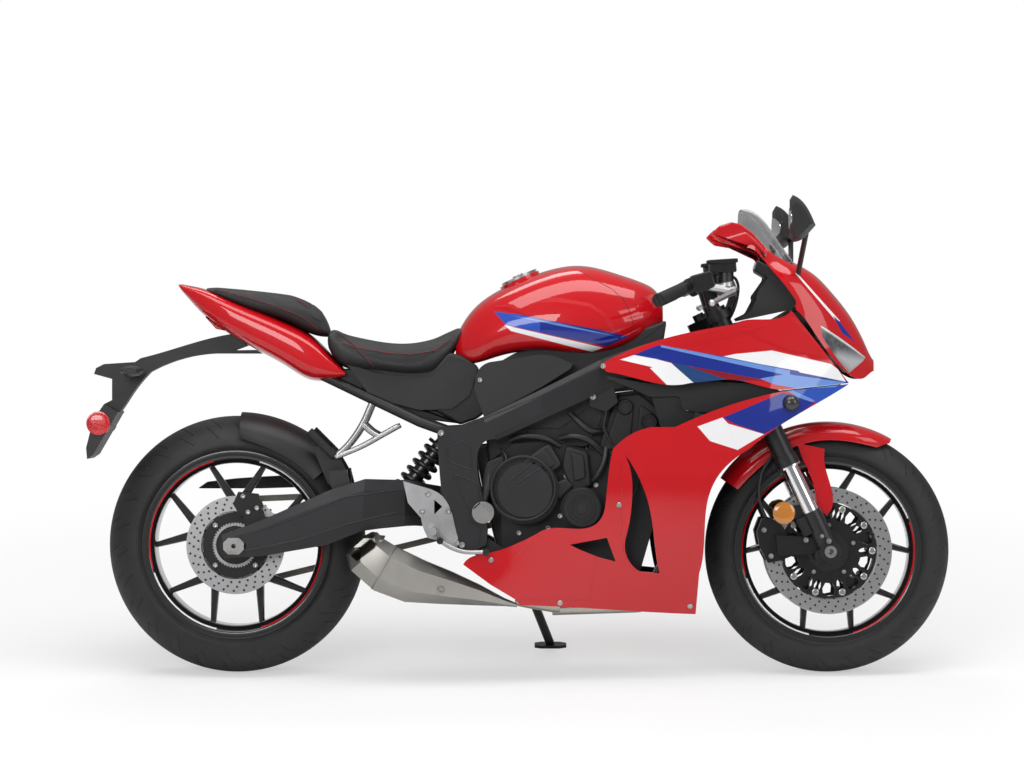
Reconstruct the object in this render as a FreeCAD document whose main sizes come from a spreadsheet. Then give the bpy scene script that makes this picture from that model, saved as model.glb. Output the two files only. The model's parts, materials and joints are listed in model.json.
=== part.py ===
import FreeCAD, Part
import math
import operator
import os
import sys

import Sketcher
from FreeCAD import Placement, Rotation, Vector

# Sport motorcycle with a full fairing, parked on its side stand.
# It is drawn upright: X forward from the rear axle, Y to the rider's left, Z up from the ground.
# The last step leans every piece onto the stand and moves the origin to the middle of its footprint.

document = FreeCAD.newDocument("sport_bike")
sheet = document.addObject("Spreadsheet::Sheet", "Sizes")

drivingSizes = {
    # whole machine
    "wheelbase": 1450,
    "lean_angle": 10,
    "middle_x": 692.3,
    "middle_y": 178.9,
    "camera_distance": 10000,
    "wall": 3,
    "fit_gap": 0.3,
    "shaft_gap": 0.1,
    "overrun": 5,
    # steering
    "rake_angle": 25.5,
    "fork_offset": 38,
    "fork_spacing": 204,
    "fork_length": 655,
    "upper_yoke_at": 624,
    "lower_yoke_at": 425,
    "yoke_plate": 26,
    "fork_outer_radius": 26,
    "fork_outer_from": 232,
    "fork_inner_radius": 20.5,
    "fork_foot_radius": 27,
    "fender_arm": 3,
    "fork_foot_top": 108,
    "stem_radius": 14,
    "head_tube_radius": 29,
    "bar_radius": 11,
    "grip_radius": 16,
    "grip_length": 125,
    "bar_tip_y": 345,
    # front wheel
    "front_tyre_radius": 300,
    "front_crown_radius": 60,
    "front_rim_width": 102,
    "front_hub_radius": 34,
    "front_flange_radius": 74,
    "front_disc_radius": 155,
    "front_disc_y": 64,
    "front_axle_radius": 11,
    "front_axle_bore": 6.5,
    "front_axle_length": 268,
    # rear wheel
    "rear_tyre_radius": 315,
    "rear_crown_radius": 90,
    "rear_rim_width": 152,
    "rear_hub_radius": 44,
    "rear_flange_radius": 62,
    "rear_hub_half": 75,
    "rear_disc_radius": 120,
    "rear_disc_y": 86,
    "rear_axle_radius": 10,
    "rear_axle_bore": 5.5,
    "rear_axle_length": 322,
    # both wheels
    "flange_radius": 231,
    "bead_radius": 219,
    "well_radius": 206,
    "inner_rim_radius": 199,
    "rim_edge": 5,
    "carcass": 9,
    "disc_band": 36,
    "disc_gauge": 4.5,
    "spoke_width": 11,
    "spoke_depth": 24,
    "spoke_fork_radius": 122,
    "spoke_spread": 19,
    "flange_thickness": 8,
    "fender_gap": 16,
    # chain drive
    "chain_line_y": 108,
    "sprocket_radius": 106,
    "sprocket_gauge": 7,
    "tooth_height": 5,
    "pinion_radius": 38,
    "pinion_x": 688,
    "pinion_z": 412,
    "chain_height": 15,
    "chain_plate": 2.2,
    "chain_inner_width": 10.5,
    "chain_pitch": 15.875,
    "roller_radius": 5,
    # swingarm
    "pivot_x": 605,
    "pivot_z": 397,
    "pivot_tube_radius": 28,
    "pivot_tube_half": 100,
    "arm_y": 138,
    "arm_thickness": 32,
    # shells
    "fairing_half": 215,
    "tank_half": 148,
    "seat_half": 132,
    "pillion_half": 96,
    "tail_half": 112,
    "nose_half": 158,
    "crankcase_half": 165,
    "radiator_half": 175,
    # stand
    "stand_radius": 11,
    "stand_pivot_y": 122,
    "stand_foot_y": 262,
    "stand_foot_length": 80,
    "stand_foot_width": 46,
    "stand_foot_gauge": 7,
}
for row, (alias, amount) in enumerate(drivingSizes.items(), 1):
    sheet.set(f"A{row}", alias)
    sheet.set(f"B{row}", str(amount))
    sheet.setAlias(f"B{row}", alias)
document.recompute()


# A size keeps its value beside the spreadsheet formula that gives it.
class Size:
    def __init__(self, value, formula):
        self.value = float(value)
        self.formula = formula

    def __float__(self):
        return self.value

    def __neg__(self):
        return Size(-self.value, f"(-{self.formula})")

    def __add__(self, other):
        return joined(self, "+", other)

    def __radd__(self, other):
        return joined(other, "+", self)

    def __sub__(self, other):
        return joined(self, "-", other)

    def __rsub__(self, other):
        return joined(other, "-", self)

    def __mul__(self, other):
        return joined(self, "*", other)

    def __rmul__(self, other):
        return joined(other, "*", self)

    def __truediv__(self, other):
        return joined(self, "/", other)


signs = {"+": operator.add, "-": operator.sub, "*": operator.mul, "/": operator.truediv}


def asSize(amount):
    return amount if isinstance(amount, Size) else Size(amount, repr(float(amount)))


def joined(first, sign, second):
    first, second = asSize(first), asSize(second)
    return Size(signs[sign](first.value, second.value), f"({first.formula} {sign} {second.formula})")


def sine(angle):
    return Size(math.sin(math.radians(float(angle))), f"sin({asSize(angle).formula})")


def cosine(angle):
    return Size(math.cos(math.radians(float(angle))), f"cos({asSize(angle).formula})")


def root(amount):
    return Size(math.sqrt(float(amount)), f"sqrt({asSize(amount).formula})")


def length(alias):
    return Size(getattr(sheet, alias), f"Sizes.{alias}")


wheelbase = length("wheelbase")
wall = length("wall")
fitGap = length("fit_gap")
shaftGap = length("shaft_gap")
overrun = length("overrun")
rake = length("rake_angle")
frontRadius = length("front_tyre_radius")
rearRadius = length("rear_tyre_radius")
legY = length("fork_spacing") / 2
forkOffset = length("fork_offset")
flange = length("flange_radius")
armY = length("arm_y")
pivotX = length("pivot_x")
pivotZ = length("pivot_z")
chainY = length("chain_line_y")

# Places read from the photograph, as seen from the bike's right side.
rearAxlePixel = (237.9, 543.6)
frontAxlePixel = (826.6, 549.7)
groundPixel = 671.5
imageMiddlePixel = (512, 384)
scale = float(wheelbase) / (frontAxlePixel[0] - rearAxlePixel[0])
cameraDistance = float(length("camera_distance"))


# A pixel's place in the upright plane that lies `out` to the right of the middle of the bike.
def spot(pixelX, pixelY, out=0):
    near = scale * (1 - float(out) / cameraDistance)
    middleX = (imageMiddlePixel[0] - rearAxlePixel[0]) * scale
    middleZ = (groundPixel - imageMiddlePixel[1]) * scale
    return middleX + (pixelX - imageMiddlePixel[0]) * near, middleZ - (pixelY - imageMiddlePixel[1]) * near


def flat(shape):
    return shape.removeSplitter()


# A closed wire in an upright lengthwise plane. Each stretch goes on from the last point of the one
# before: with one point it is straight, with more it is a curve through them.
def sideWire(stretches, out, place=spot):
    edges = []
    last = stretches[-1][-1]
    for stretch in stretches:
        points = []
        for pixel in [last] + stretch:
            x, z = place(*pixel, out)
            points.append(Vector(x, -float(out), z))
        if len(points) == 2:
            edges.append(Part.LineSegment(*points).toShape())
        else:
            curve = Part.BSplineCurve()
            curve.interpolate(points)
            edges.append(curve.toShape())
        last = stretch[-1]
    return Part.Wire(edges)


# A plate with that outline, from `out` to `inner` to the right of the middle.
def sidePlate(stretches, out, inner, place=spot):
    face = Part.Face(sideWire(stretches, out, place))
    return face.extrude(Vector(0, float(out) - float(inner), 0))


def mirrored(shape):
    return shape.mirror(Vector(0, 0, 0), Vector(0, 1, 0))


def largest(shape):
    return max(shape.Solids, key=lambda solid: solid.Volume)


def joinedShape(shapes):
    whole = shapes[0]
    for shape in shapes[1:]:
        whole = whole.fuse(shape)
    return flat(whole)


# A closed smooth ring across the bike at x, from its half profile: shares of the half-width and height.
def crossRing(x, low, high, half, profileShares, middle=0):
    points = [Vector(float(x), float(middle) + wide * float(half), float(low) + up * (float(high) - float(low)))
              for wide, up in profileShares]
    points += [Vector(p.x, 2 * float(middle) - p.y, p.z) for p in reversed(points) if abs(p.y - float(middle)) > 0]
    curve = Part.BSplineCurve()
    curve.interpolate(points, PeriodicFlag=True)
    return Part.Wire([curve.toShape()])


def loft(rings, ruled=False):
    return Part.makeLoft(rings, True, ruled)


# Four-cornered ring with rounded corners, square to the given direction.
def barRing(centre, direction, width, height, cornerShare=0.3):
    direction = Vector(direction).normalize()
    across = direction.cross(Vector(0, 0, 1)).normalize()
    up = across.cross(direction).normalize()
    corner = cornerShare * min(float(width), float(height))
    w, d = float(width) / 2, float(height) / 2
    points = []
    for sideA, sideB in ((1, 1), (-1, 1), (-1, -1), (1, -1)):
        first = (sideA * w, sideB * (d - corner))
        second = (sideA * (w - corner), sideB * d)
        points += [first, second] if sideA * sideB > 0 else [second, first]
    places = [Vector(centre) + across * a + up * b for a, b in points]
    return Part.makePolygon(places + [places[0]])


# A round bar or tube along straight runs joined by tangent arcs.
def pipe(points, radius, bend, bore=0):
    points = [Vector(*[float(c) for c in p]) for p in points]
    edges = []
    start = points[0]
    for before, corner, after in zip(points, points[1:], points[2:]):
        back = (before - corner).normalize()
        ahead = (after - corner).normalize()
        half = back.getAngle(ahead) / 2
        reach = min(float(bend) / math.tan(half), 0.48 * (before - corner).Length, 0.48 * (after - corner).Length)
        first, second = corner + back * reach, corner + ahead * reach
        bisector = (back + ahead).normalize()
        turn = reach * math.tan(half)
        middle = corner + bisector * (reach / math.cos(half) - turn)
        if (first - start).Length > 1e-6:
            edges.append(Part.LineSegment(start, first).toShape())
        edges.append(Part.Arc(first, middle, second).toShape())
        start = second
    edges.append(Part.LineSegment(start, points[-1]).toShape())
    path = Part.Wire(edges)
    direction = points[1] - points[0]

    def swept(size):
        ring = Part.Wire([Part.makeCircle(float(size), points[0], direction)])
        return path.makePipeShell([ring], True, False)

    solid = swept(radius)
    return solid.cut(swept(bore)) if float(bore) > 0 else solid


def rod(start, end, radius, bore=0):
    start, end = [Vector(*[float(c) for c in p]) for p in (start, end)]
    span = end - start
    solid = Part.makeCylinder(float(radius), span.Length, start, span)
    if float(bore) > 0:
        solid = solid.cut(Part.makeCylinder(float(bore), span.Length, start, span))
    return solid


subParts = {}


# Every sub-part is kept with the place of its own origin in the upright bike.
def keep(label, thing, at=(0, 0, 0)):
    thing.Label = label
    subParts[label] = (thing, at)
    return thing


def keepShape(label, shape):
    feature = document.addObject("Part::Feature", label)
    feature.Shape = shape
    return keep(label, feature)


def originPlane(body, role):
    return [feature for feature in body.Origin.OriginFeatures if feature.Role == role][0]


# A sketch of closed loops. A vertex is (x, y), or (x, y, radius) where an arc of that radius leads on
# to the next vertex, turning left, or right with a negative radius. A circle is (x, y, radius) alone.
def drawSketch(body, plane, loops=(), circles=(), offset=0):
    sketch = body.newObject("Sketcher::SketchObject", "profile")
    sketch.AttachmentSupport = [(originPlane(body, plane), "")]
    sketch.MapMode = "FlatFace"
    bound = []

    def constrain(kind, *references, amount=None):
        if amount is None:
            sketch.addConstraint(Sketcher.Constraint(kind, *references))
            return
        index = sketch.addConstraint(Sketcher.Constraint(kind, *references, float(amount)))
        if isinstance(amount, Size):
            bound.append((f"Constraints[{index}]", amount.formula))

    for loop in loops:
        first = len(sketch.Geometry)
        ends = []
        for vertex, following in zip(loop, loop[1:] + loop[:1]):
            a = Vector(float(vertex[0]), float(vertex[1]), 0)
            b = Vector(float(following[0]), float(following[1]), 0)
            if len(vertex) == 2:
                sketch.addGeometry(Part.LineSegment(a, b), False)
                ends.append((1, 2))
                continue
            radius = float(vertex[2])
            chord = b - a
            side = Vector(chord.y, -chord.x, 0).normalize() * math.copysign(1, radius)
            away = math.sqrt(max(radius * radius - chord.Length * chord.Length / 4, 0))
            middle = a + chord * 0.5 + side * (abs(radius) - away)
            sketch.addGeometry(Part.Arc(a, middle, b), False)
            ends.append((1, 2) if radius > 0 else (2, 1))
        count = len(loop)
        for step in range(count):
            following = (step + 1) % count
            constrain("Coincident", first + step, ends[step][1], first + following, ends[following][0])
        for step, vertex in enumerate(loop):
            constrain("DistanceX", -1, 1, first + step, ends[step][0], amount=vertex[0])
            constrain("DistanceY", -1, 1, first + step, ends[step][0], amount=vertex[1])
            if len(vertex) == 3:
                amount = vertex[2] if float(vertex[2]) > 0 else -vertex[2]
                constrain("Radius", first + step, amount=amount)
    for x, y, radius in circles:
        index = sketch.addGeometry(Part.Circle(Vector(float(x), float(y), 0), Vector(0, 0, 1), float(radius)))
        constrain("DistanceX", -1, 1, index, 3, amount=x)
        constrain("DistanceY", -1, 1, index, 3, amount=y)
        constrain("Radius", index, amount=radius)
    for name, formula in bound:
        sketch.setExpression(name, formula)
    if float(offset) != 0:
        sketch.setExpression("AttachmentOffset.Base.z", asSize(offset).formula)
    return sketch


def newBody(label):
    return document.addObject("PartDesign::Body", label)


def turned(body, sketch):
    feature = body.newObject("PartDesign::Revolution", "turned")
    feature.Profile = sketch
    feature.ReferenceAxis = (sketch, ["V_Axis"])
    feature.Angle = 360
    body.Tip = feature
    return feature


def padded(body, sketch, thickness, symmetric=True, kind="PartDesign::Pad"):
    feature = body.newObject(kind, "step")
    feature.Profile = sketch
    if symmetric:
        feature.SideType = "Symmetric"
    feature.setExpression("Length", asSize(thickness).formula)
    body.Tip = feature
    return feature


def repeated(body, features, count, axisRole="Y_Axis"):
    feature = body.newObject("PartDesign::PolarPattern", "repeat")
    feature.Originals = features
    feature.Axis = (originPlane(body, axisRole), [""])
    feature.Angle = 360
    feature.Occurrences = count
    body.Tip = feature
    return feature


def ringPoint(radius, degrees):
    return radius * cosine(degrees), radius * sine(degrees)


# Wheels

frontAxleAt = (wheelbase, 0, frontRadius)
rearAxleAt = (0, 0, rearRadius)


# A cast rim: turned hoop, hub with a flange for each disc, and five arms that fork into ten spokes.
def makeRim(label, at, rimWidth, hubRadius, flangeRadius, rightHalf, leftHalf, boreRadius):
    edge = length("rim_edge")
    half = rimWidth / 2
    bead, well, inner = length("bead_radius"), length("well_radius"), length("inner_rim_radius")
    body = newBody(label)
    hoop = [(flange, half), (flange, half - edge), (bead, half - edge), (bead, half - 4 * edge),
            (well, half - 6 * edge), (well, 6 * edge - half), (bead, 4 * edge - half),
            (bead, edge - half), (flange, edge - half), (flange, -half), (bead - edge, -half),
            (inner, 3 * edge - half), (inner, half - 3 * edge), (bead - edge, half)]
    turned(body, drawSketch(body, "XY_Plane", [hoop]))
    thick = length("flange_thickness")
    hub = [(boreRadius, leftHalf), (boreRadius, -rightHalf), (flangeRadius, -rightHalf),
           (flangeRadius, thick - rightHalf), (hubRadius, 3 * thick - rightHalf),
           (hubRadius, leftHalf - 3 * thick), (flangeRadius, leftHalf - thick), (flangeRadius, leftHalf)]
    turned(body, drawSketch(body, "XY_Plane", [hub]))
    width, fork = length("spoke_width"), length("spoke_fork_radius")
    spread = length("spoke_spread")
    left, right = 90 + spread, 90 - spread
    reach = inner + edge
    root = hubRadius * 0.8
    crotch = fork + 2 * width
    leftX, leftY = ringPoint(reach, left)
    rightX, rightY = ringPoint(reach, right)
    arm = [(-width * 1.5, root), (width * 1.5, root), (width * 0.9, fork * 0.82),
           (rightX + width, rightY - width * 0.4), (rightX - width, rightY + width * 0.4),
           (0, crotch), (leftX + width, leftY + width * 0.4), (leftX - width, leftY - width * 0.4),
           (-width * 0.9, fork * 0.82)]
    spoke = padded(body, drawSketch(body, "XZ_Plane", [arm]), length("spoke_depth"))
    repeated(body, [spoke], 5)
    return keep(label, body, at)


# A hollow tyre carcass with a round crown, down to the beads on the rim.
def makeTyre(label, at, radius, crown, rimWidth):
    edge, carcass = length("rim_edge"), length("carcass")
    half = rimWidth / 2
    seat = length("bead_radius") + fitGap
    lip = flange + edge / 5
    inside = half - edge - fitGap
    shoulder = lip + edge
    rise = shoulder - (radius - crown)
    shoulderHalf = root(crown * crown - rise * rise)
    innerHalf = half - 3 * edge
    body = newBody(label)
    loop = [(shoulder, shoulderHalf, -crown), (radius, 0, -crown), (shoulder, -shoulderHalf),
            (lip, -half), (lip, -inside), (seat, -inside), (seat, -innerHalf),
            (shoulder + edge, -innerHalf, crown), (radius - carcass, 0, crown),
            (shoulder + edge, innerHalf), (seat, innerHalf), (seat, inside), (lip, inside), (lip, half)]
    turned(body, drawSketch(body, "XY_Plane", [loop]))
    return keep(label, body, at)


# Brake discs: a band, the carrier inside it and the buttons that join them.
def makeDisc(label, at, outer, places, carrierRadius):
    band, gauge = length("disc_band"), length("disc_gauge")
    body = newBody(label)
    buttons = 10
    for place in places:
        ring = [(outer - band, place - gauge / 2), (outer, place - gauge / 2),
                (outer, place + gauge / 2), (outer - band, place + gauge / 2)]
        turned(body, drawSketch(body, "XY_Plane", [ring]))
        rim = outer - band * 1.12
        carrier = [(carrierRadius, place - gauge / 2), (rim, place - gauge / 2),
                   (rim, place + gauge / 2), (carrierRadius, place + gauge / 2)]
        turned(body, drawSketch(body, "XY_Plane", [carrier]))
        sketch = drawSketch(body, "XZ_Plane", [], [(0, outer - band * 1.06, band * 0.22)], -place)
        repeated(body, [padded(body, sketch, gauge)], buttons)
    return keep(label, body, at)


edge = length("rim_edge")
frontRimWidth, rearRimWidth = length("front_rim_width"), length("rear_rim_width")
frontAxleRadius, rearAxleRadius = length("front_axle_radius"), length("rear_axle_radius")
frontDiscY, rearDiscY = length("front_disc_y"), length("rear_disc_y")
discGauge, discBand = length("disc_gauge"), length("disc_band")
frontHubHalf = frontDiscY - discGauge / 2
rearHubLeft = length("rear_hub_half")
makeRim("front_rim", frontAxleAt, frontRimWidth, length("front_hub_radius"), length("front_flange_radius"),
        frontHubHalf, frontHubHalf, frontAxleRadius + shaftGap)
makeTyre("front_tyre", frontAxleAt, frontRadius, length("front_crown_radius"), frontRimWidth)
makeRim("rear_rim", rearAxleAt, rearRimWidth, length("rear_hub_radius"), length("rear_flange_radius"),
        rearDiscY - discGauge / 2, rearHubLeft, rearAxleRadius + shaftGap)
makeTyre("rear_tyre", rearAxleAt, rearRadius, length("rear_crown_radius"), rearRimWidth)
makeDisc("front_discs", frontAxleAt, length("front_disc_radius"), [frontDiscY, -frontDiscY],
         length("front_flange_radius") * 0.7)
makeDisc("rear_disc", rearAxleAt, length("rear_disc_radius"), [-rearDiscY], length("rear_flange_radius") * 0.75)


# The driven sprocket and its carrier, on the left of the rear hub.
sprocketTeeth = 42


def makeRearSprocket():
    pitch, tooth = length("sprocket_radius"), length("tooth_height")
    gauge = length("sprocket_gauge")
    body = newBody("rear_sprocket")
    hole = length("rear_hub_radius") + fitGap
    disc = drawSketch(body, "XZ_Plane", [], [(0, 0, pitch - tooth), (0, 0, hole)], -chainY)
    padded(body, disc, gauge)
    half = pitch * math.pi / sprocketTeeth
    tip = [(-half * 0.85, pitch - tooth * 1.5), (half * 0.85, pitch - tooth * 1.5),
           (half * 0.3, pitch + tooth), (-half * 0.3, pitch + tooth)]
    point = padded(body, drawSketch(body, "XZ_Plane", [tip], [], -chainY), gauge)
    repeated(body, [point], sprocketTeeth)
    bore = length("rear_axle_radius") + shaftGap
    hub = [(bore, rearHubLeft), (length("rear_hub_radius") * 1.6, rearHubLeft),
           (length("rear_hub_radius") * 1.6, chainY - gauge / 2),
           (length("rear_hub_radius"), chainY + gauge / 2), (bore, chainY + gauge / 2)]
    turned(body, drawSketch(body, "XY_Plane", [hub]))
    keep("rear_sprocket", body, rearAxleAt)


makeRearSprocket()

# Steering: everything is placed along the fork, which passes through the front axle.

forkUp = Vector(-math.sin(math.radians(float(rake))), 0, math.cos(math.radians(float(rake))))
forkAhead = Vector(forkUp.z, 0, -forkUp.x)
axlePoint = Vector(float(wheelbase), 0, float(frontRadius))


# A point of the fork's own frame: ahead of the legs' plane, to the left, and up along them.
def forkSpot(ahead, left, up):
    return axlePoint + forkAhead * float(ahead) + Vector(0, float(left), 0) + forkUp * float(up)


def makeForkLeg(side):
    y = legY * side
    outer, inner = length("fork_outer_radius"), length("fork_inner_radius")
    foot, top = length("fork_foot_radius"), length("fork_length")
    footTop, outerFrom = length("fork_foot_top"), length("fork_outer_from")
    upper = rod(forkSpot(0, y, outerFrom), forkSpot(0, y, top), outer)
    collar = rod(forkSpot(0, y, outerFrom - overrun), forkSpot(0, y, outerFrom + outer), outer + wall)
    cap = rod(forkSpot(0, y, top), forkSpot(0, y, top + outer / 2), outer * 0.6)
    slider = rod(forkSpot(0, y, footTop * 0.9), forkSpot(0, y, outerFrom + outer), inner)
    casting = rod(forkSpot(0, y, 0), forkSpot(0, y, footTop), foot * 0.92)
    eye = rod(forkSpot(0, y - foot, 0), forkSpot(0, y + foot, 0), foot)
    pinch = rod(forkSpot(-foot * 0.9, y - foot * 0.6, 0), forkSpot(-foot * 0.9, y + foot * 0.6, 0), foot * 0.6)
    lug = barRing(forkSpot(-foot, y, footTop * 0.55), forkUp, foot * 1.6, foot * 1.1)
    block = Part.Face(lug).extrude(forkUp * (float(footTop) * 0.42))
    bore = rod(forkSpot(0, y - foot * 2, 0), forkSpot(0, y + foot * 2, 0), frontAxleRadius + shaftGap)
    solid = joinedShape([upper, collar, cap, slider, casting, eye, pinch, block]).cut(bore)
    return solid


keepShape("fork_legs", Part.Compound([makeForkLeg(-1), makeForkLeg(1)]))


def makeFrontAxle():
    end = length("front_axle_length") / 2
    half = frontHubHalf + fitGap
    footInner = legY - length("fork_foot_radius") - fitGap
    bar = rod(forkSpot(0, -end, 0), forkSpot(0, end, 0), frontAxleRadius)
    spacers = [rod(forkSpot(0, side * half, 0), forkSpot(0, side * footInner, 0), frontAxleRadius * 1.6)
               for side in (-1, 1)]
    legOuter = legY + length("fork_foot_radius") + fitGap
    head = rod(forkSpot(0, -end, 0), forkSpot(0, -legOuter, 0), frontAxleRadius * 1.35)
    bore = rod(forkSpot(0, -end * 2, 0), forkSpot(0, end * 2, 0), length("front_axle_bore"))
    keepShape("front_axle", joinedShape([bar, head] + spacers).cut(bore))


makeFrontAxle()


# One clamp plate across both legs, with bores for the legs and the stem.
def yokePlate(at, thickness):
    outer = length("fork_outer_radius")
    offset = forkOffset
    eyes = []
    for y in (-legY, legY):
        eyes.append(rod(forkSpot(0, y, at), forkSpot(0, y, at + thickness), outer * 1.45))
    stem = rod(forkSpot(-offset, 0, at), forkSpot(-offset, 0, at + thickness), length("head_tube_radius"))
    r = outer * 1.3
    corners = [(r, -legY), (r * 0.5, -legY * 0.5), (r * 0.5, legY * 0.5), (r, legY), (-r, legY),
               (-offset - r, r), (-offset - r, -r), (-r, -legY)]
    places = [forkSpot(a, b, at) for a, b in corners]
    web = Part.Face(Part.makePolygon(places + [places[0]])).extrude(forkUp * float(thickness))
    plate = joinedShape([web, stem] + eyes)
    for y in (-legY, legY):
        plate = plate.cut(rod(forkSpot(0, y, at - overrun), forkSpot(0, y, at + thickness + overrun),
                              outer + shaftGap))
    return plate


def makeYokes():
    plate = length("yoke_plate")
    lower, upper = length("lower_yoke_at"), length("upper_yoke_at")
    stemBar = rod(forkSpot(-forkOffset, 0, lower), forkSpot(-forkOffset, 0, upper + plate * 1.4),
                  length("stem_radius"))
    keepShape("fork_yokes", joinedShape([yokePlate(lower, plate), yokePlate(upper, plate * 0.8), stemBar]))


makeYokes()

barInnerPixel, barOuterPixel = (705, 279), (661, 299)
barInner = Vector(spot(*barInnerPixel, legY)[0], 0, spot(*barInnerPixel, legY)[1])
barOuter = Vector(spot(*barOuterPixel, length("bar_tip_y"))[0], 0, spot(*barOuterPixel, length("bar_tip_y"))[1])
barTipY = length("bar_tip_y")


# A point of one handlebar: share 0 over its fork leg, share 1 at the tip.
def barSpot(side, share):
    inner = Vector(barInner.x, side * float(legY), barInner.z)
    outer = Vector(barOuter.x, side * float(barTipY), barOuter.z)
    return inner + (outer - inner) * share


def makeHandlebars():
    shapes = []
    clampTop = length("fork_length") - edge
    for side in (-1, 1):
        bar = rod(barSpot(side, -0.08), barSpot(side, 0.985), length("bar_radius"), length("bar_radius") * 0.75)
        top = barSpot(side, 0)
        clamp = rod(forkSpot(0, legY * side, clampTop), top, length("bar_radius") * 1.5)
        legTop = length("fork_length") + length("fork_outer_radius") / 2 + fitGap
        room = rod(forkSpot(0, legY * side, 0), forkSpot(0, legY * side, legTop),
                   length("fork_outer_radius") + fitGap)
        shapes.append(joinedShape([bar, clamp]).cut(room))
    keepShape("handlebars", Part.Compound(shapes))


makeHandlebars()


def makeGrips():
    span = float(length("grip_length")) / (barSpot(1, 1) - barSpot(1, 0)).Length
    grips = []
    for side in (-1, 1):
        grip = rod(barSpot(side, 1 - span), barSpot(side, 0.984), length("grip_radius"),
                   length("bar_radius") + shaftGap)
        weight = rod(barSpot(side, 0.986), barSpot(side, 1.06), length("grip_radius"))
        grips.append(joinedShape([grip]))
        grips.append(weight)
    keepShape("grips", Part.Compound(grips))


makeGrips()

reservoirPixel = (722, 264)
leverPivotPixel, leverTipPixel = (735, 291), (712, 303)


def makeControls():
    shapes = []
    radius = length("bar_radius")
    for side in (-1, 1):
        perch = rod(barSpot(side, 0.22), barSpot(side, 0.36), radius * 1.7, radius + shaftGap)
        x, z = spot(*leverPivotPixel, legY * 1.4)
        pivot = Vector(x, side * float(legY) * 1.4, z)
        tipX, tipZ = spot(*leverTipPixel, barTipY * 0.95)
        tip = Vector(tipX, side * float(barTipY) * 0.95, tipZ)
        arm = rod(barSpot(side, 0.29) + Vector(float(radius) * 1.3, 0, 0), pivot, radius)
        lever = loft([barRing(pivot + (tip - pivot) * share, tip - pivot, radius * wide, radius * tall)
                      for share, wide, tall in ((0, 2.0, 1.6), (0.25, 1.4, 1.1), (0.8, 1.2, 1.0), (1, 0.9, 0.9))],
                     True)
        knob = Part.makeSphere(float(radius) * 0.75, tip)
        cup = rod(pivot + Vector(-float(radius) * 2, 0, float(radius)),
                  pivot + Vector(-float(radius) * 2, 0, float(radius) * 4.2), radius * 1.7)
        solid = joinedShape([perch, arm, lever, knob, cup])
        solid = solid.cut(rod(barSpot(side, 0.1), barSpot(side, 0.6), radius + shaftGap))
        shapes.append(solid)
    keepShape("brake_and_clutch_controls", Part.Compound(shapes))


makeControls()

# Frame: a steering head, two box spars and their pivot plates, on the root body.


# A four-cornered ring across a spar: its top and bottom as pixels, its middle's distance from the
# bike's middle plane, and its thickness, with the corners cut off.
def sparRing(topPixel, bottomPixel, y, thickness, side=1, bevelShare=0.22):
    topX, topZ = spot(*topPixel, y)
    lowX, lowZ = spot(*bottomPixel, y)
    half = float(thickness) / 2
    points = []
    for across, up in ((-1, 1), (1, 1), (1, 0), (-1, 0)):
        for first in (True, False):
            cutAcross = first == (across == up * 2 - 1 or (across, up) == (1, 1) or (across, up) == (-1, 0))
            share = (1 - bevelShare if up else bevelShare) if cutAcross else up
            wide = across if cutAcross else across * (1 - 2 * bevelShare)
            points.append(Vector(lowX + (topX - lowX) * share, side * (float(y) + wide * half),
                                 lowZ + (topZ - lowZ) * share))
    return points


def ringWire(points):
    middle = sum(points, Vector(0, 0, 0)) * (1 / len(points))
    normal = (points[2] - points[0]).cross(points[4] - points[0]).normalize()
    start = (points[0] - middle).normalize()
    other = normal.cross(start)

    def turn(point):
        return math.atan2((point - middle).dot(other), (point - middle).dot(start))

    ordered = sorted(points, key=turn)
    return Part.makePolygon(ordered + [ordered[0]])


headTubeRadius = length("head_tube_radius")
lowerYokeAt, upperYokeAt = length("lower_yoke_at"), length("upper_yoke_at")
yokePlateSize = length("yoke_plate")
sparThickness = headTubeRadius * 1.25
crankcaseHalf = length("crankcase_half")
sparStations = [  # top pixel, bottom pixel, share of the spar's greatest distance from the middle
    ((695, 341), (688, 376), 0.30), ((672, 340), (664, 380), 0.56), ((640, 345), (636, 384), 0.82),
    ((600, 360), (598, 394), 0.95), ((540, 390), (545, 418), 1.0), ((482, 418), (497, 440), 1.0)]
sparY = armY * 1.06


def makeFrameHead():
    low, high = lowerYokeAt + yokePlateSize + fitGap, upperYokeAt - fitGap
    tube = rod(forkSpot(-forkOffset, 0, low), forkSpot(-forkOffset, 0, high), headTubeRadius)
    back = barRing(forkSpot(-forkOffset - headTubeRadius * 1.2, 0, low + edge), forkUp,
                   sparY * 0.9, headTubeRadius * 1.6)
    gusset = Part.Face(back).extrude(forkUp * (float(high - low) - 2 * float(edge)))
    bore = rod(forkSpot(-forkOffset, 0, low - overrun), forkSpot(-forkOffset, 0, high + overrun),
               length("stem_radius") + shaftGap)
    return joinedShape([tube, gusset]).cut(bore)


def makeSpar(side):
    rings = [ringWire(sparRing(top, bottom, sparY * share, sparThickness, side))
             for top, bottom, share in sparStations]
    return Part.makeLoft(rings, True, True)


pivotPlatePixels = [[(460, 426)], [(482, 418)], [(497, 439)], [(480, 447), (477, 462), (481, 490),
                    (487, 525), (486, 545)], [(470, 553)], [(456, 548)], [(446, 520), (441, 488), (438, 450), (437, 427)]]


def makePivotPlate(side):
    outer = sparY + sparThickness / 2
    inner = sparY - sparThickness / 2
    plate = sidePlate(pivotPlatePixels, outer, inner)
    plate = plate.cut(rod((pivotX, -outer * 1.2, pivotZ), (pivotX, -inner * 0.8, pivotZ),
                          length("pivot_tube_radius") * 0.4))
    return plate if side < 0 else mirrored(plate)


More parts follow.
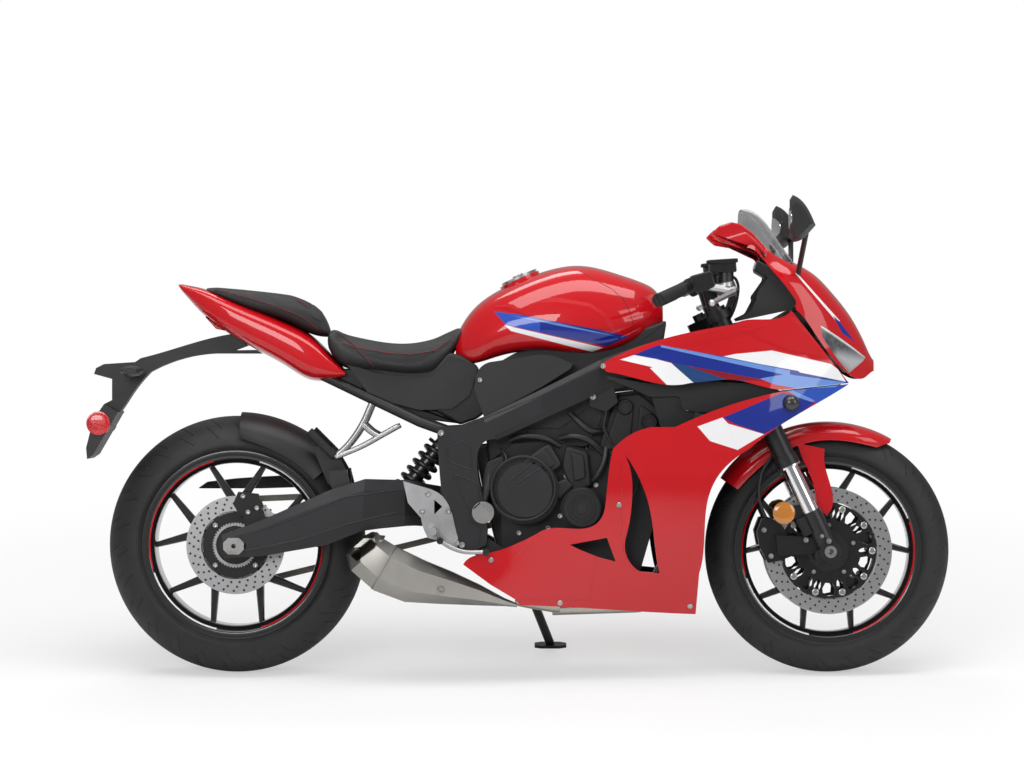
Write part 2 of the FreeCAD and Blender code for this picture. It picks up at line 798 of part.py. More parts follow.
upperLugPixels = [[(588, 384)], [(612, 380)], [(618, 402)], [(606, 412)], [(590, 406)]]
lowerLugPixels = [[(468, 538)], [(487, 538)], [(514, 554)], [(515, 568)], [(500, 570)], [(476, 556)]]
caseHalf = crankcaseHalf * 0.72
cylinderHalf = crankcaseHalf * 0.6
sprocketRoom = chainY - length("chain_inner_width") * 2


def makeFrame():
    head = makeFrameHead()
    spars = []
    for side, name in ((-1, "right"), (1, "left")):
        upper = sidePlate(upperLugPixels, sparY, cylinderHalf + fitGap)
        lower = sidePlate(lowerLugPixels, sparY, (caseHalf if side < 0 else sprocketRoom) + fitGap)
        lugs = [upper, lower] if side < 0 else [mirrored(upper), mirrored(lower)]
        spar = joinedShape([makeSpar(side), makePivotPlate(side)] + lugs)
        spars.append((name, spar.cut(head)))
    keepShape("frame_head", head)
    for name, spar in spars:
        keepShape(f"frame_spar_{name}", spar)


makeFrame()


def makeSwingarm():
    tube = rod((pivotX, -length("pivot_tube_half"), pivotZ), (pivotX, length("pivot_tube_half"), pivotZ),
               length("pivot_tube_radius"))
    shapes = [tube]
    thick = length("arm_thickness")
    rightStations = [((483, 494), (483, 529), 0.58), ((440, 486), (440, 527), 0.60), ((405, 480), (405, 525), 0.92),
                     ((365, 479), (362, 531), 1.0), ((330, 490), (326, 545), 1.0), ((262, 520), (262, 556), 1.0),
                     ((222, 535), (225, 558), 1.0)]
    leftStations = [((483, 499), (483, 526), 0.58), ((440, 501), (440, 527), 0.60), ((405, 502), (405, 529), 0.80),
                    ((365, 503), (362, 534), 1.0), ((330, 503), (326, 545), 1.0), ((262, 520), (262, 556), 1.0),
                    ((222, 535), (225, 558), 1.0)]
    for side, stations in ((-1, rightStations), (1, leftStations)):
        rings = [ringWire(sparRing(top, bottom, armY * share, thick, side)) for top, bottom, share in stations]
        shapes.append(Part.makeLoft(rings, True, True))
    brace = barRing((pivotX - pivotX * 0.2, 0, pivotZ), (1, 0, 0), length("pivot_tube_half") * 1.7,
                    length("pivot_tube_radius") * 1.7)
    shapes.append(Part.Face(brace).extrude(Vector(float(pivotX) * 0.17, 0, 0)))
    solid = joinedShape(shapes)
    slotLow, slotHigh = -edge * 2, edge * 4
    radius = rearAxleRadius + shaftGap
    for place in (slotLow, slotHigh):
        solid = solid.cut(rod((place, -armY * 1.4, rearRadius), (place, armY * 1.4, rearRadius), radius))
    slot = Part.makeBox(float(slotHigh - slotLow), 2.8 * float(armY), 2 * float(radius),
                        Vector(float(slotLow), -1.4 * float(armY), float(rearRadius - radius)))
    solid = solid.cut(slot)
    solid = solid.cut(rod((pivotX, -armY * 2, pivotZ), (pivotX, armY * 2, pivotZ),
                          length("pivot_tube_radius") * 0.4 + shaftGap))
    keepShape("swingarm", solid)


makeSwingarm()


def makeRearAxle():
    end = length("rear_axle_length") / 2
    bar = rod((0, -end, rearRadius), (0, end, rearRadius), rearAxleRadius)
    armInner = armY - length("arm_thickness") / 2
    armOuter = armY + length("arm_thickness") / 2
    hubEnd = rearDiscY - discGauge / 2 + fitGap
    plates = []
    for side in (-1, 1):
        plates.append(Part.Face(barRing((0, side * float(armOuter + fitGap), float(rearRadius)), (0, side, 0),
                      rearAxleRadius * 5, rearAxleRadius * 4)).extrude(Vector(0, side * float(edge), 0)))
        plates.append(rod((0, side * float(armOuter + edge), rearRadius), (0, side * float(end), rearRadius),
                          rearAxleRadius * 1.6))
    spacers = [rod((0, -hubEnd, rearRadius), (0, fitGap - armInner, rearRadius), rearAxleRadius * 1.6),
               rod((0, chainY + length("sprocket_gauge") / 2 + fitGap, rearRadius),
                   (0, armInner - fitGap, rearRadius), rearAxleRadius * 1.6)]
    bore = rod((0, -end * 2, rearRadius), (0, end * 2, rearRadius), length("rear_axle_bore"))
    keepShape("rear_axle", joinedShape([bar] + plates + spacers).cut(bore))


makeRearAxle()


def makePivotBolt():
    end = sparY + sparThickness * 0.5
    radius = length("pivot_tube_radius") * 0.4
    bar = rod((pivotX, -end, pivotZ), (pivotX, end, pivotZ), radius - shaftGap)
    heads = [rod((pivotX, side * float(end + fitGap), pivotZ), (pivotX, side * float(end + edge * 1.6), pivotZ),
                 length("pivot_tube_radius") * 0.95) for side in (-1, 1)]
    collars = [rod((pivotX, side * float(length("pivot_tube_half") + fitGap), pivotZ),
                   (pivotX, side * float(sparY - sparThickness / 2 - fitGap), pivotZ), radius * 1.5)
               for side in (-1, 1)]
    neck = rod((pivotX, -end - edge, pivotZ), (pivotX, end + edge, pivotZ), radius - shaftGap)
    keepShape("pivot_bolt", joinedShape([bar, neck] + heads + collars))


makePivotBolt()

# Engine

crankcasePixels = [[(545, 441)], [(600, 452)], [(650, 470)], [(655, 520)], [(640, 572)], [(560, 590)],
                   [(541, 587)]]
gearboxPixels = [[(500, 456)], [(512, 444)], [(545, 441)], [(541, 587)], [(512, 582)], [(502, 560)]]
cylinderPixels = [[(588, 449)], [(600, 452)], [(650, 468)], [(672, 425)], [(668, 400)], [(640, 390)],
                  [(608, 394)]]
sprocketCoverPixels = [[(500, 468)], [(545, 462)], [(560, 500)], [(548, 540)], [(510, 545)], [(502, 520)]]


clutchPixel, pickupPixel, generatorPixel = (525, 490), (582, 508), (600, 508)


def makeEngine():
    front = sidePlate(crankcasePixels, caseHalf, -caseHalf)
    rear = sidePlate(gearboxPixels, caseHalf, -sprocketRoom)
    keepShape("crankcase", joinedShape([front, rear]))
    barrels = sidePlate(cylinderPixels, cylinderHalf, -cylinderHalf)
    keepShape("cylinder_block", barrels.cut(front))
    cover = crankcaseHalf * 0.5
    face = -caseHalf
    step = crankcaseHalf * 0.22
    covers = []
    for pixel, side, size, high in ((clutchPixel, -1, 1, 1.6), (pickupPixel, -1, 0.62, 1.4),
                                    (generatorPixel, 1, 0.9, 1.5)):
        x, z = spot(*pixel, crankcaseHalf)
        start, rim, top = [side * (-face + amount) for amount in (0, step, step * high)]
        covers.append(joinedShape([rod((x, start, z), (x, rim, z), cover * size),
                                   rod((x, start, z), (x, top, z), cover * size * 0.8)]))
    room = chainY + length("chain_inner_width") * 1.4
    shell = mirrored(sidePlate(sprocketCoverPixels, room + wall * 3, caseHalf))
    shell = shell.cut(mirrored(sidePlate(sprocketCoverCavityPixels, room, caseHalf * 0.5))).cut(covers[-1])
    covers.append(largest(shell))
    keepShape("engine_covers", Part.Compound(covers))


sprocketCoverCavityPixels = [[(480, 440)], [(548, 472)], [(546, 532)], [(480, 580)]]
makeEngine()

radiatorPixels = [[(695, 412)], [(709, 416)], [(697, 532)], [(683, 528)]]


radiatorStrutPixels = ((676, 374), (700, 416))


def makeRadiator():
    half = length("radiator_half")
    shapes = [sidePlate(radiatorPixels, half, -half)]
    (topX, topZ), (lowX, lowZ) = [spot(*pixel) for pixel in radiatorStrutPixels]
    strutY = sparY * 0.45
    for side in (-1, 1):
        shapes.append(rod((topX, strutY * side, topZ), (lowX, strutY * side, lowZ), edge))
    whole = joinedShape(shapes)
    for name in ("frame_spar_right", "frame_spar_left"):
        whole = whole.cut(subParts[name][0].Shape)
    keepShape("radiator", largest(whole))


makeRadiator()


headerPixels = [(662, 446), (675, 462), (671, 560), (645, 603), (552, 606)]
collectorStations = [  # pixel column, top row, bottom row, share of the way out to the silencer, half-width share
    (560, 597, 615, 0.0, 2.2), (540, 594, 612, 0.45, 1.5), (515, 590, 606, 1.0, 0.62)]
silencerStations = [  # pixel column, top row, bottom row, share of the half-width, share of its distance out
    (351, 550, 572, 0.62, 1.0), (372, 536, 588, 0.85, 1.0), (400, 547, 599, 1.0, 1.0), (440, 564, 602, 1.0, 0.98),
    (480, 578, 604, 0.8, 0.8), (515, 590, 606, 0.6, 0.72)]
silencerY = armY * 1.12
silencerHalf = armY * 0.36
boxShares = [(0, 1), (0.55, 0.98), (0.9, 0.85), (1, 0.55), (0.95, 0.2), (0.6, 0.02), (0, 0)]


def makeExhaust():
    pipes = []
    radius = crankcaseHalf * 0.115
    for share in (-0.6, -0.2, 0.2, 0.6):
        y = share * float(crankcaseHalf)
        points = []
        for step, (u, v) in enumerate(headerPixels):
            x, z = spot(u, v)
            points.append((x, y if step < 3 else y * 0.7, z))
        pipes.append(pipe(points, radius, radius * 2.4).cut(subParts["cylinder_block"][0].Shape))
    rings = []
    inner = silencerY * 0.72
    for column, top, bottom, out, wide in collectorStations:
        x, high = spot(column, top, silencerY)
        low = spot(column, bottom, silencerY)[1]
        rings.append(crossRing(x, low, high, silencerHalf * wide, boxShares, -inner * out))
    collector = loft(rings)
    keepShape("exhaust_pipes", joinedShape([collector] + pipes))


def makeSilencer():
    rings = []
    for column, top, bottom, wide, out in silencerStations:
        x, high = spot(column, top, silencerY)
        low = spot(column, bottom, silencerY)[1]
        rings.append(crossRing(x, low, high, silencerHalf * wide, boxShares, -silencerY * out))
    keepShape("silencer", loft(rings))


makeExhaust()
makeSilencer()

# Bodywork

crownShares = [(0, 1), (0.4, 0.97), (0.75, 0.84), (0.96, 0.55), (1, 0.3), (0.86, 0.06), (0.4, 0), (0, 0)]


def stationLoft(stations, half, shares, out=0):
    rings = []
    for column, top, bottom, wide in stations:
        x, high = spot(column, top, out)
        low = spot(column, bottom, out)[1]
        rings.append(crossRing(x, low, high, half * wide, shares))
    return loft(rings)


tankStations = [(456, 338, 358, 0.42), (468, 316, 364, 0.6), (500, 290, 356, 0.82), (540, 273, 351, 0.96),
                (580, 266, 354, 1.0), (620, 275, 348, 0.9), (645, 284, 336, 0.7), (662, 303, 326, 0.42)]
seatStations = [(338, 331, 352, 0.80), (352, 336, 368, 0.94), (385, 342, 374, 1.0), (410, 342.7, 377, 0.95),
                (432, 341, 376, 0.76), (446, 337, 361, 0.6), (455, 330, 345, 0.5)]
pillionStations = [(206, 287, 293, 0.45), (250, 291, 312, 0.86), (290, 295.5, 324, 0.97), (312, 300, 336, 1.0),
                   (328, 318, 350, 0.95)]
tailStations = [(180, 284, 297, 0.4), (208, 290, 318, 0.66), (240, 305, 340, 0.86), (280, 320, 364, 0.97),
                (310, 340, 379, 1.0), (340, 362, 380, 0.94)]


railRadius = length("bar_radius") * 1.15
railStations = [(459, 436, 1.0), (420, 422, 0.92), (372, 399, 0.78), (320, 374, 0.62), (250, 338, 0.5)]


def railPoints(side):
    y = float(sparY - sparThickness / 2 - fitGap - railRadius)
    points = []
    for column, row, wide in railStations:
        x, z = spot(column, row, y * wide)
        points.append((x, side * y * wide, z))
    return points


trayPixels = [[(345, 362)], [(372, 372)], [(395, 376)], [(432, 377)], [(449, 360)], [(462, 362)], [(478, 368)],
              [(470, 395)], [(452, 409)], [(420, 410)], [(372, 398)]]


airboxPixels = [[(486, 380)], [(520, 366)], [(600, 356)], [(655, 345)], [(662, 352)], [(655, 388)], [(608, 393)],
                [(560, 428)], [(505, 428)]]
sideCoverPixels = [[(476, 376)], [(480, 368), (490, 362)], [(510, 359), (530, 356)], [(548, 355), (560, 358)],
                   [(573, 364)], [(570, 369)], [(540, 388)], [(510, 404)], [(484, 417)], [(478, 400), (474, 388)]]


def makeTankAndSeats():
    tank = stationLoft(tankStations, length("tank_half"), crownShares)
    tail = stationLoft(tailStations, length("tail_half"), crownShares)
    seat = stationLoft(seatStations, length("seat_half"), crownShares)
    pillion = stationLoft(pillionStations, length("pillion_half"), crownShares)
    for side in (-1, 1):
        spar = subParts["frame_spar_right" if side < 0 else "frame_spar_left"][0].Shape
        tank = tank.cut(spar)
    lift = Vector(0, 0, float(fitGap))
    tray = sidePlate(trayPixels, length("seat_half") * 0.72, -length("seat_half") * 0.72).cut(tail)
    for side in (-1, 1):
        tray = tray.cut(pipe(railPoints(side), railRadius + fitGap, railRadius * 3))
        tail = tail.cut(pipe(railPoints(side), railRadius + fitGap, railRadius * 3))
    tray = largest(tray)
    keepShape("seat_tray", tray)
    tank.translate(lift)
    airboxHalf = sparY * 0.72
    box = sidePlate(airboxPixels, airboxHalf, -airboxHalf).cut(tank).cut(tray)
    cover = sidePlate(sideCoverPixels, sparY + sparThickness * 0.1, airboxHalf + fitGap)
    covers = Part.Compound([cover, mirrored(cover)]).cut(tank).cut(tray)
    for name in ("frame_spar_right", "frame_spar_left", "cylinder_block", "crankcase"):
        box = box.cut(subParts[name][0].Shape)
        covers = covers.cut(subParts[name][0].Shape)
    box = largest(box)
    keepShape("airbox", box)
    keepShape("side_covers", Part.Compound(sorted(covers.Solids, key=lambda solid: -solid.Volume)[:2]))
    tank = largest(tank.cut(tray))
    seat = seat.cut(tank).cut(tail).cut(tray)
    seat.translate(lift)
    seat = seat.cut(tray)
    pillion = pillion.cut(tail)
    pillion.translate(lift)
    seat = seat.cut(pillion)
    keepShape("seat_rail", Part.Compound([pipe(railPoints(side), railRadius, railRadius * 3) for side in (-1, 1)]))
    keepShape("fuel_tank", tank)
    keepShape("tail_cowl", tail)
    keepShape("rider_seat", seat)
    keepShape("passenger_seat", pillion)


makeTankAndSeats()


# Fairing: shells cut from one smooth side surface. Rows give the half-width from low to high.
fairingHalf = length("fairing_half")
fairingColumns = [440, 510, 580, 640, 700, 760, 820, 880]
fairingRows = [640, 600, 550, 500, 440, 390, 350, 290]
fairingShares = [
    (0.58, 0.56, 0.50, 0.47, 0.46, 0.40, 0.30, 0.16),
    (0.80, 0.78, 0.72, 0.68, 0.64, 0.54, 0.40, 0.20),
    (0.84, 0.84, 0.84, 0.85, 0.82, 0.68, 0.50, 0.26),
    (0.87, 0.90, 0.93, 0.95, 0.92, 0.77, 0.56, 0.29),
    (0.86, 0.93, 0.97, 1.00, 0.97, 0.83, 0.60, 0.30),
    (0.84, 0.90, 0.95, 0.97, 0.95, 0.83, 0.62, 0.30),
    (0.78, 0.84, 0.88, 0.90, 0.89, 0.79, 0.62, 0.28),
    (0.68, 0.72, 0.76, 0.78, 0.78, 0.72, 0.58, 0.24)]


def fairingSurface(shares=fairingShares):
    grid = []
    for row, halves in zip(fairingRows, shares):
        line = []
        for column, share in zip(fairingColumns, halves):
            x, z = spot(column, row, fairingHalf * share)
            line.append(Vector(x, -float(fairingHalf) * share, z))
        grid.append(line)
    surface = Part.BSplineSurface()
    surface.interpolate(grid)
    return surface.toShape()


# A shell panel: the part of the side surface inside an outline, with its wall towards the middle.
def sidePanel(stretches, holes=()):
    face = sidePlate(stretches, fairingHalf * 1.3, 0, panelSpot)
    for hole in holes:
        face = face.cut(sidePlate(hole, fairingHalf * 1.4, -fairingHalf, panelSpot))
    skin = fairingSurface().common(face)
    return skin.extrude(Vector(0, float(wall) * 1.15, 0))


# Outlines on the panels are read where the panels lie, not where the outline's plate starts.
def panelSpot(pixelX, pixelY, out):
    return spot(pixelX, pixelY, fairingHalf * 0.93)


lowerPanelPixels = [
    [(640, 430), (652, 427)], [(675, 427)], [(700, 416), (740, 402), (783, 391.5)], [(852, 384)],
    [(820, 403), (790, 420), (750, 449)], [(730, 463), (717, 478), (708, 500), (705, 530), (700, 574)],
    [(660, 574)], [(655, 545), (650, 510), (640, 480), (625, 455)], [(613, 449)]]
upperPanelPixels = [
    [(612, 358), (630, 350), (670, 337), (735, 324)], [(770, 319), (785, 316), (793, 310)], [(852, 383)],
    [(783, 390)], [(765, 387), (735, 380), (710, 381), (690, 383)], [(670, 385), (650, 382), (607, 372)],
    [(600, 365)]]
bellyPanelPixels = [
    [(463, 565)], [(465, 562), (490, 553), (525, 540), (540, 532)], [(560, 528), (580, 529), (595, 525)],
    [(603, 515), (606, 500), (609, 470), (613, 449)], [(625, 455)],
    [(632, 480), (632, 500), (628, 530), (625, 547), (632, 565), (640, 572)], [(660, 574)], [(700, 574)],
    [(697, 616)], [(640, 613), (580, 609), (520, 606)], [(515, 600)], [(490, 585)]]
bellyHolePixels = [[(570, 545)], [(607, 538)], [(616, 562)], [(600, 558)], [(580, 550)]]


skinSolid = fairingSurface().extrude(Vector(0, float(fairingHalf), 0))
postPixels = {  # where a post stands, and how far from the middle its inner end is
    "fairing_upper": [((645, 368), sparY * 0.81)],
    "fairing_side": [((698, 440), length("radiator_half") + fitGap)],
    "fairing_belly": [((600, 572), caseHalf + fitGap), ((552, 575), caseHalf + fitGap)]}
standNotchPixels = [[(440, 556)], [(556, 556)], [(570, 640)], [(440, 640)]]


def makeFairing():
    for label, outline, holes in (("fairing_upper", upperPanelPixels, ()), ("fairing_side", lowerPanelPixels, ()),
                                  ("fairing_belly", bellyPanelPixels, (bellyHolePixels,))):
        panel = sidePanel(outline, holes)
        for pixel, inner in postPixels[label]:
            x, z = panelSpot(*pixel, 0)
            post = rod((x, -fairingHalf * 1.2, z), (x, -inner, z), edge)
            outside = skinSolid.common(post)
            panel = panel.fuse(max(outside.Solids, key=lambda solid: solid.BoundBox.YMax))
        panel = flat(panel)
        if label == "fairing_upper":
            panel = largest(panel.cut(subParts["frame_spar_right"][0].Shape))
        left = mirrored(panel)
        if label == "fairing_belly":
            left = left.cut(mirrored(sidePlate(standNotchPixels, fairingHalf * 1.3, 0)))
        keepShape(label, Part.Compound([panel, left]))


makeFairing()

archShares = [(0, 1), (0.4, 0.985), (0.75, 0.9), (0.94, 0.66), (1, 0.33), (1, 0)]


# An arch across the bike, closed along its foot.
def archRing(x, low, high, half, shares=archShares):
    left = [Vector(float(x), wide * float(half), float(low) + up * (float(high) - float(low)))
            for wide, up in reversed(shares)]
    points = left + [Vector(p.x, -p.y, p.z) for p in reversed(left[:-1])]
    curve = Part.BSplineCurve()
    curve.interpolate(points)
    return Part.Wire([curve.toShape(), Part.LineSegment(points[-1], points[0]).toShape()])


# A shell over such arches, open at its foot and its rear end. Inside, it is a wall smaller all round.
def archShell(stations, half, thickness, out=0, closedFront=True):
    outer, inner = [], []
    thickness = float(thickness)
    for index, (column, top, bottom, wide) in enumerate(stations):
        x, high = spot(column, top, out)
        low = spot(column, bottom, out)[1]
        outer.append(archRing(x, low, high, half * wide))
        shift = 0
        if index == 0:
            shift = -float(overrun)
        if index == len(stations) - 1:
            shift = -thickness * 1.5 if closedFront else float(overrun)
        inner.append(archRing(x + shift, low - float(overrun) * 4, high - thickness,
                              max(float(half) * wide - thickness, thickness)))
    return loft(outer).cut(loft(inner))


noseStations = [(738, 236, 324, 0.98), (765, 244, 321, 0.99), (793, 263, 312, 0.95), (812, 274, 336, 0.86),
                (832, 294, 362, 0.7), (850, 317, 377, 0.5), (864, 343, 377, 0.3), (873, 360, 371, 0.13)]
screenStations = [(740, 210, 238, 0.70), (750, 211, 243, 0.70), (770, 231, 256, 0.66), (790, 259, 272, 0.58)]
screenOpeningPixels = [[(700, 150)], [(797, 150)], [(793, 266)], [(762, 262)], [(735, 262)], [(700, 262)]]
headlampPixels = [[(822, 325)], [(846, 340), (870, 357)], [(867, 361)], [(852, 373)], [(844, 364), (824, 337)]]


noseCutPixels = [[(700, 236)], [(711, 236)], [(735, 246), (752, 248), (767, 262), (790, 290), (797, 300)],
                 [(797, 310)], [(785, 318)], [(735, 330)], [(700, 330)]]
innerPanelPixels = [[(766, 263)], [(780, 271), (794, 290), (797, 301)], [(793, 310)], [(745, 320)], [(739, 317)],
                    [(750, 312), (758, 298)], [(755, 294)]]


def makeNose():
    half = length("nose_half")
    inner = sidePlate(innerPanelPixels, half * 0.72, half * 0.72 - wall)
    nose = archShell(noseStations, half, wall)
    opening = sidePlate(screenOpeningPixels, half * 0.72, -half * 0.72)
    nose = nose.cut(opening).cut(sidePlate(noseCutPixels, half * 1.2, -half * 1.2))
    lamp = sidePlate(headlampPixels, half * 1.1, half * 0.12)
    lamps = lamp.fuse(mirrored(lamp))
    solidNose = loft([archRing(spot(c, t)[0], spot(c, b)[1], spot(c, t)[1], half * w)
                      for c, t, b, w in noseStations])
    lens = solidNose.common(lamps)
    inset = solidNose.cut(archShell(noseStations, half, wall * 6))
    lens = lens.cut(inset)
    keepShape("nose_cowl", largest(nose.cut(lamps)))
    upper = subParts["fairing_upper"][0]
    upper.Shape = upper.Shape.cut(solidNose)
    pieces = sorted(lens.Solids, key=lambda s: -s.Volume)[:2]
    keepShape("headlamps", Part.Compound(pieces))
    screen = archShell(screenStations, half, wall, 0, False)
    keepShape("windscreen", screen)
    headFront = forkSpot(headTubeRadius * 0.8 - forkOffset, 0, (lowerYokeAt + upperYokeAt) / 2 + edge * 5)
    crossX, crossZ = spot(*stayPixel)
    cross = (crossX, 0, crossZ)
    reach = half * 0.96
    bars = [rod(headFront, cross, edge * 2), rod((crossX, -reach, crossZ), (crossX, reach, crossZ), edge * 1.6)]
    stay = joinedShape(bars + [inner, mirrored(inner)])
    stay = stay.cut(subParts["frame_head"][0].Shape).cut(subParts["nose_cowl"][0].Shape)
    keepShape("fairing_stay", largest(stay))


stayPixel = (808, 302)
makeNose()

# Mudguards follow their tyres: an arch of rings round the axle, hollow towards the tyre.
guardShares = [(-1, 0), (-0.96, 0.45), (-0.7, 0.82), (-0.3, 0.98), (0, 1), (0.3, 0.98), (0.7, 0.82),
               (0.96, 0.45), (1, 0)]


def guardRing(centre, degrees, radius, half, rise):
    angle = math.radians(degrees)
    outward = Vector(math.cos(angle), 0, math.sin(angle))
    points = [centre + outward * (float(radius) + float(rise) * up) + Vector(0, float(half) * wide, 0)
              for wide, up in guardShares]
    curve = Part.BSplineCurve()
    curve.interpolate(points)
    return Part.Wire([curve.toShape(), Part.LineSegment(points[-1], points[0]).toShape()])


openEndDegrees = 2


def guardShell(centre, stations, tyreRadius, tyreHalf, gap):
    outer, inner = [], []
    for index, (degrees, wide, deep) in enumerate(stations):
        half = (tyreHalf + gap) * wide
        rise = tyreHalf * deep
        base = tyreRadius + gap - rise
        outer.append(guardRing(centre, degrees, base, half, rise))
        shift = 0
        if index == 0:
            shift = -openEndDegrees
        if index == len(stations) - 1:
            shift = openEndDegrees
        inner.append(guardRing(centre, degrees + shift, base - wall, half - wall, rise))
    return loft(outer).cut(loft(inner))


fenderGap = length("fender_gap")
frontCrown, rearCrown = length("front_crown_radius"), length("rear_crown_radius")
fenderStations = [(60, 0.5, 0.5), (72, 0.9, 0.7), (90, 1.0, 0.75), (110, 1.0, 0.8), (130, 1.0, 0.85), (146, 0.9, 0.8)]
fenderBoltPixel = (822, 512)
fenderArmPixels = [[(797, 443)], [(825, 449)], [(829, 480), (833, 500), (832, 508)], [(827, 516)], [(817, 506)],
                   [(812, 480), (803, 460)]]


def makeFrontFender():
    shell = guardShell(axlePoint, fenderStations, frontRadius, frontCrown, fenderGap)
    y = legY - length("fork_foot_radius") - fitGap
    arm = sidePlate(fenderArmPixels, y, y - length("fender_arm"))
    x, z = spot(*fenderBoltPixel, y)
    boss = rod((x, -y, z), (x, fitGap - legY + length("fork_foot_radius") * 0.92 - fitGap * 2, z), edge)
    guard = joinedShape([shell, arm, boss, mirrored(arm), mirrored(boss)]).cut(subParts["fork_legs"][0].Shape)
    keepShape("front_fender", largest(guard))


huggerStations = [(40, 0.96, 0.85), (60, 0.98, 0.85), (78, 1.0, 0.8), (88, 0.9, 0.7)]
huggerSidePixels = [[(312, 446)], [(334, 449)], [(346, 470)], [(346, 487)], [(328, 484)]]
huggerBridgePixels = [[(329, 471)], [(347, 470)], [(348, 487)], [(330, 486)]]
huggerFootPixels = [[(329, 474)], [(347, 472)], [(352, 492)], [(334, 500)]]


def makeHugger():
    centre = Vector(0, 0, float(rearRadius))
    shell = guardShell(centre, huggerStations, rearRadius, rearCrown, fenderGap * 0.6)
    shellHalf = rearCrown + fenderGap * 0.6
    armInner = armY - length("arm_thickness") / 2
    armMiddle = armY - length("arm_thickness") * 0.1
    legs = []
    for pixels, outer, inner in ((huggerSidePixels, shellHalf + wall, shellHalf * 0.91),
                                 (huggerBridgePixels, armMiddle, shellHalf * 0.91),
                                 (huggerFootPixels, armMiddle, armInner + fitGap)):
        plate = sidePlate(pixels, outer, inner)
        legs += [plate, mirrored(plate)]
    keepShape("rear_hugger", joinedShape([shell] + legs).cut(subParts["swingarm"][0].Shape))


makeFrontFender()
makeHugger()

caliperPixels = [[(762, 519)], [(778, 522), (786, 532), (788, 546)], [(784, 560)], [(768, 563)], [(760, 548)],
                 [(757, 532)]]
caliperArmPixels = [[(776, 535)], [(822, 538)], [(825, 553)], [(778, 556)]]
rearCaliperPixels = [[(238, 492)], [(258, 494)], [(263, 506)], [(257, 517)], [(240, 516)], [(233, 504)]]
rearBracketPixels = [[(243, 512)], [(262, 510)], [(268, 526)], [(262, 540)], [(246, 540)]]


def makeCalipers():
    slot = discGauge + 2 * edge
    inner = frontDiscY - slot / 2 - edge * 1.2
    outer = frontDiscY + slot / 2 + edge * 3
    shapes = []
    block = sidePlate(caliperPixels, outer, inner)
    arm = sidePlate(caliperArmPixels, legY + edge, frontDiscY + slot / 2 + edge * 0.5)
    whole = joinedShape([block, arm])
    reach = length("front_disc_radius") + edge
    slotCut = Part.makeCylinder(float(reach), float(slot), axlePoint + Vector(0, -float(frontDiscY + slot / 2), 0),
                                Vector(0, 1, 0))
    axleRoom = rod(forkSpot(0, -legY, 0), forkSpot(0, 0, 0), frontAxleRadius * 1.6 + fitGap)
    whole = whole.cut(slotCut).cut(subParts["fork_legs"][0].Shape).cut(axleRoom)
    whole = largest(whole)
    shapes = [whole, mirrored(whole)]
    keepShape("front_calipers", Part.Compound(shapes))
    inner = rearDiscY - slot / 2 - edge * 0.6
    outer = rearDiscY + slot / 2 + edge * 2.6
    block = sidePlate(rearCaliperPixels, outer, inner)
    bracket = sidePlate(rearBracketPixels, armY - length("arm_thickness") / 2 - fitGap, rearDiscY + slot / 2)
    whole = joinedShape([block, bracket])
    reach = length("rear_disc_radius") + edge
    whole = whole.cut(rod((0, -rearDiscY - slot / 2, rearRadius), (0, slot / 2 - rearDiscY, rearRadius), reach))
    whole = largest(whole)
    keepShape("rear_caliper", whole)


makeCalipers()

# Tail end: lamp, plate carrier with its arm, and the indicators on its sides.
tailLampPixels = [[(194, 300)], [(206, 318)], [(216, 329)], [(231, 332)], [(238, 330)], [(226, 305)], [(206, 298)]]
carrierArmPixels = [[(231, 334)], [(200, 341), (170, 350), (141, 358)], [(135, 362)], [(104, 364)], [(96, 368)],
                    [(94, 374)], [(112, 379)], [(112, 400)], [(104, 404)], [(104, 411)], [(118, 415)], [(128, 400)],
                    [(140, 383), (150, 372)], [(185, 358), (215, 353.5)], [(262, 353.5)], [(245, 338)]]
carrierHolePixels = [[(232, 350)], [(247, 344.5)], [(257, 349.5)]]
flapPixels = [[(104, 404)], [(118, 412)], [(104, 436), (93, 455)], [(87, 459)], [(86, 448)], [(93, 420)]]
indicatorPixel, reflectorPixel = (131, 371), (101, 423)
tailHalf = length("tail_half")


def makeTailEnd():
    lamp = sidePlate(tailLampPixels, tailHalf * 0.42, -tailHalf * 0.42).cut(subParts["tail_cowl"][0].Shape)
    keepShape("tail_lamp", lamp)
    arm = sidePlate(carrierArmPixels, tailHalf * 0.26, -tailHalf * 0.26)
    hole = sidePlate(carrierHolePixels, tailHalf, -tailHalf)
    tail = subParts["tail_cowl"][0].Shape
    keepShape("plate_carrier", arm.cut(hole).cut(tail).cut(lamp))
    flap = sidePlate(flapPixels, tailHalf * 0.75, -tailHalf * 0.75)
    carrier = subParts["plate_carrier"][0]
    carrier.Shape = flat(carrier.Shape.fuse(flap))
    x, z = spot(*indicatorPixel, tailHalf)
    shapes = []
    stalk = wall * 2
    for side in (-1, 1):
        rings = []
        for share, size in ((0.26, 0.55), (0.5, 0.75), (0.7, 1.0), (1.05, 1.0), (1.3, 0.6)):
            centre = Vector(x, side * float(tailHalf) * share, z)
            ellipse = Part.Ellipse(centre, float(stalk) * 4.4 * size, float(stalk) * 2.1 * size)
            rings.append(Part.Wire([ellipse.toShape()]))
        for ring in rings:
            centre = ring.BoundBox.Center
            ring.rotate(centre, Vector(1, 0, 0), 90)
        shapes.append(loft(rings))
    keepShape("rear_indicators", Part.Compound(shapes))


makeTailEnd()

capPixel = (520, 281)


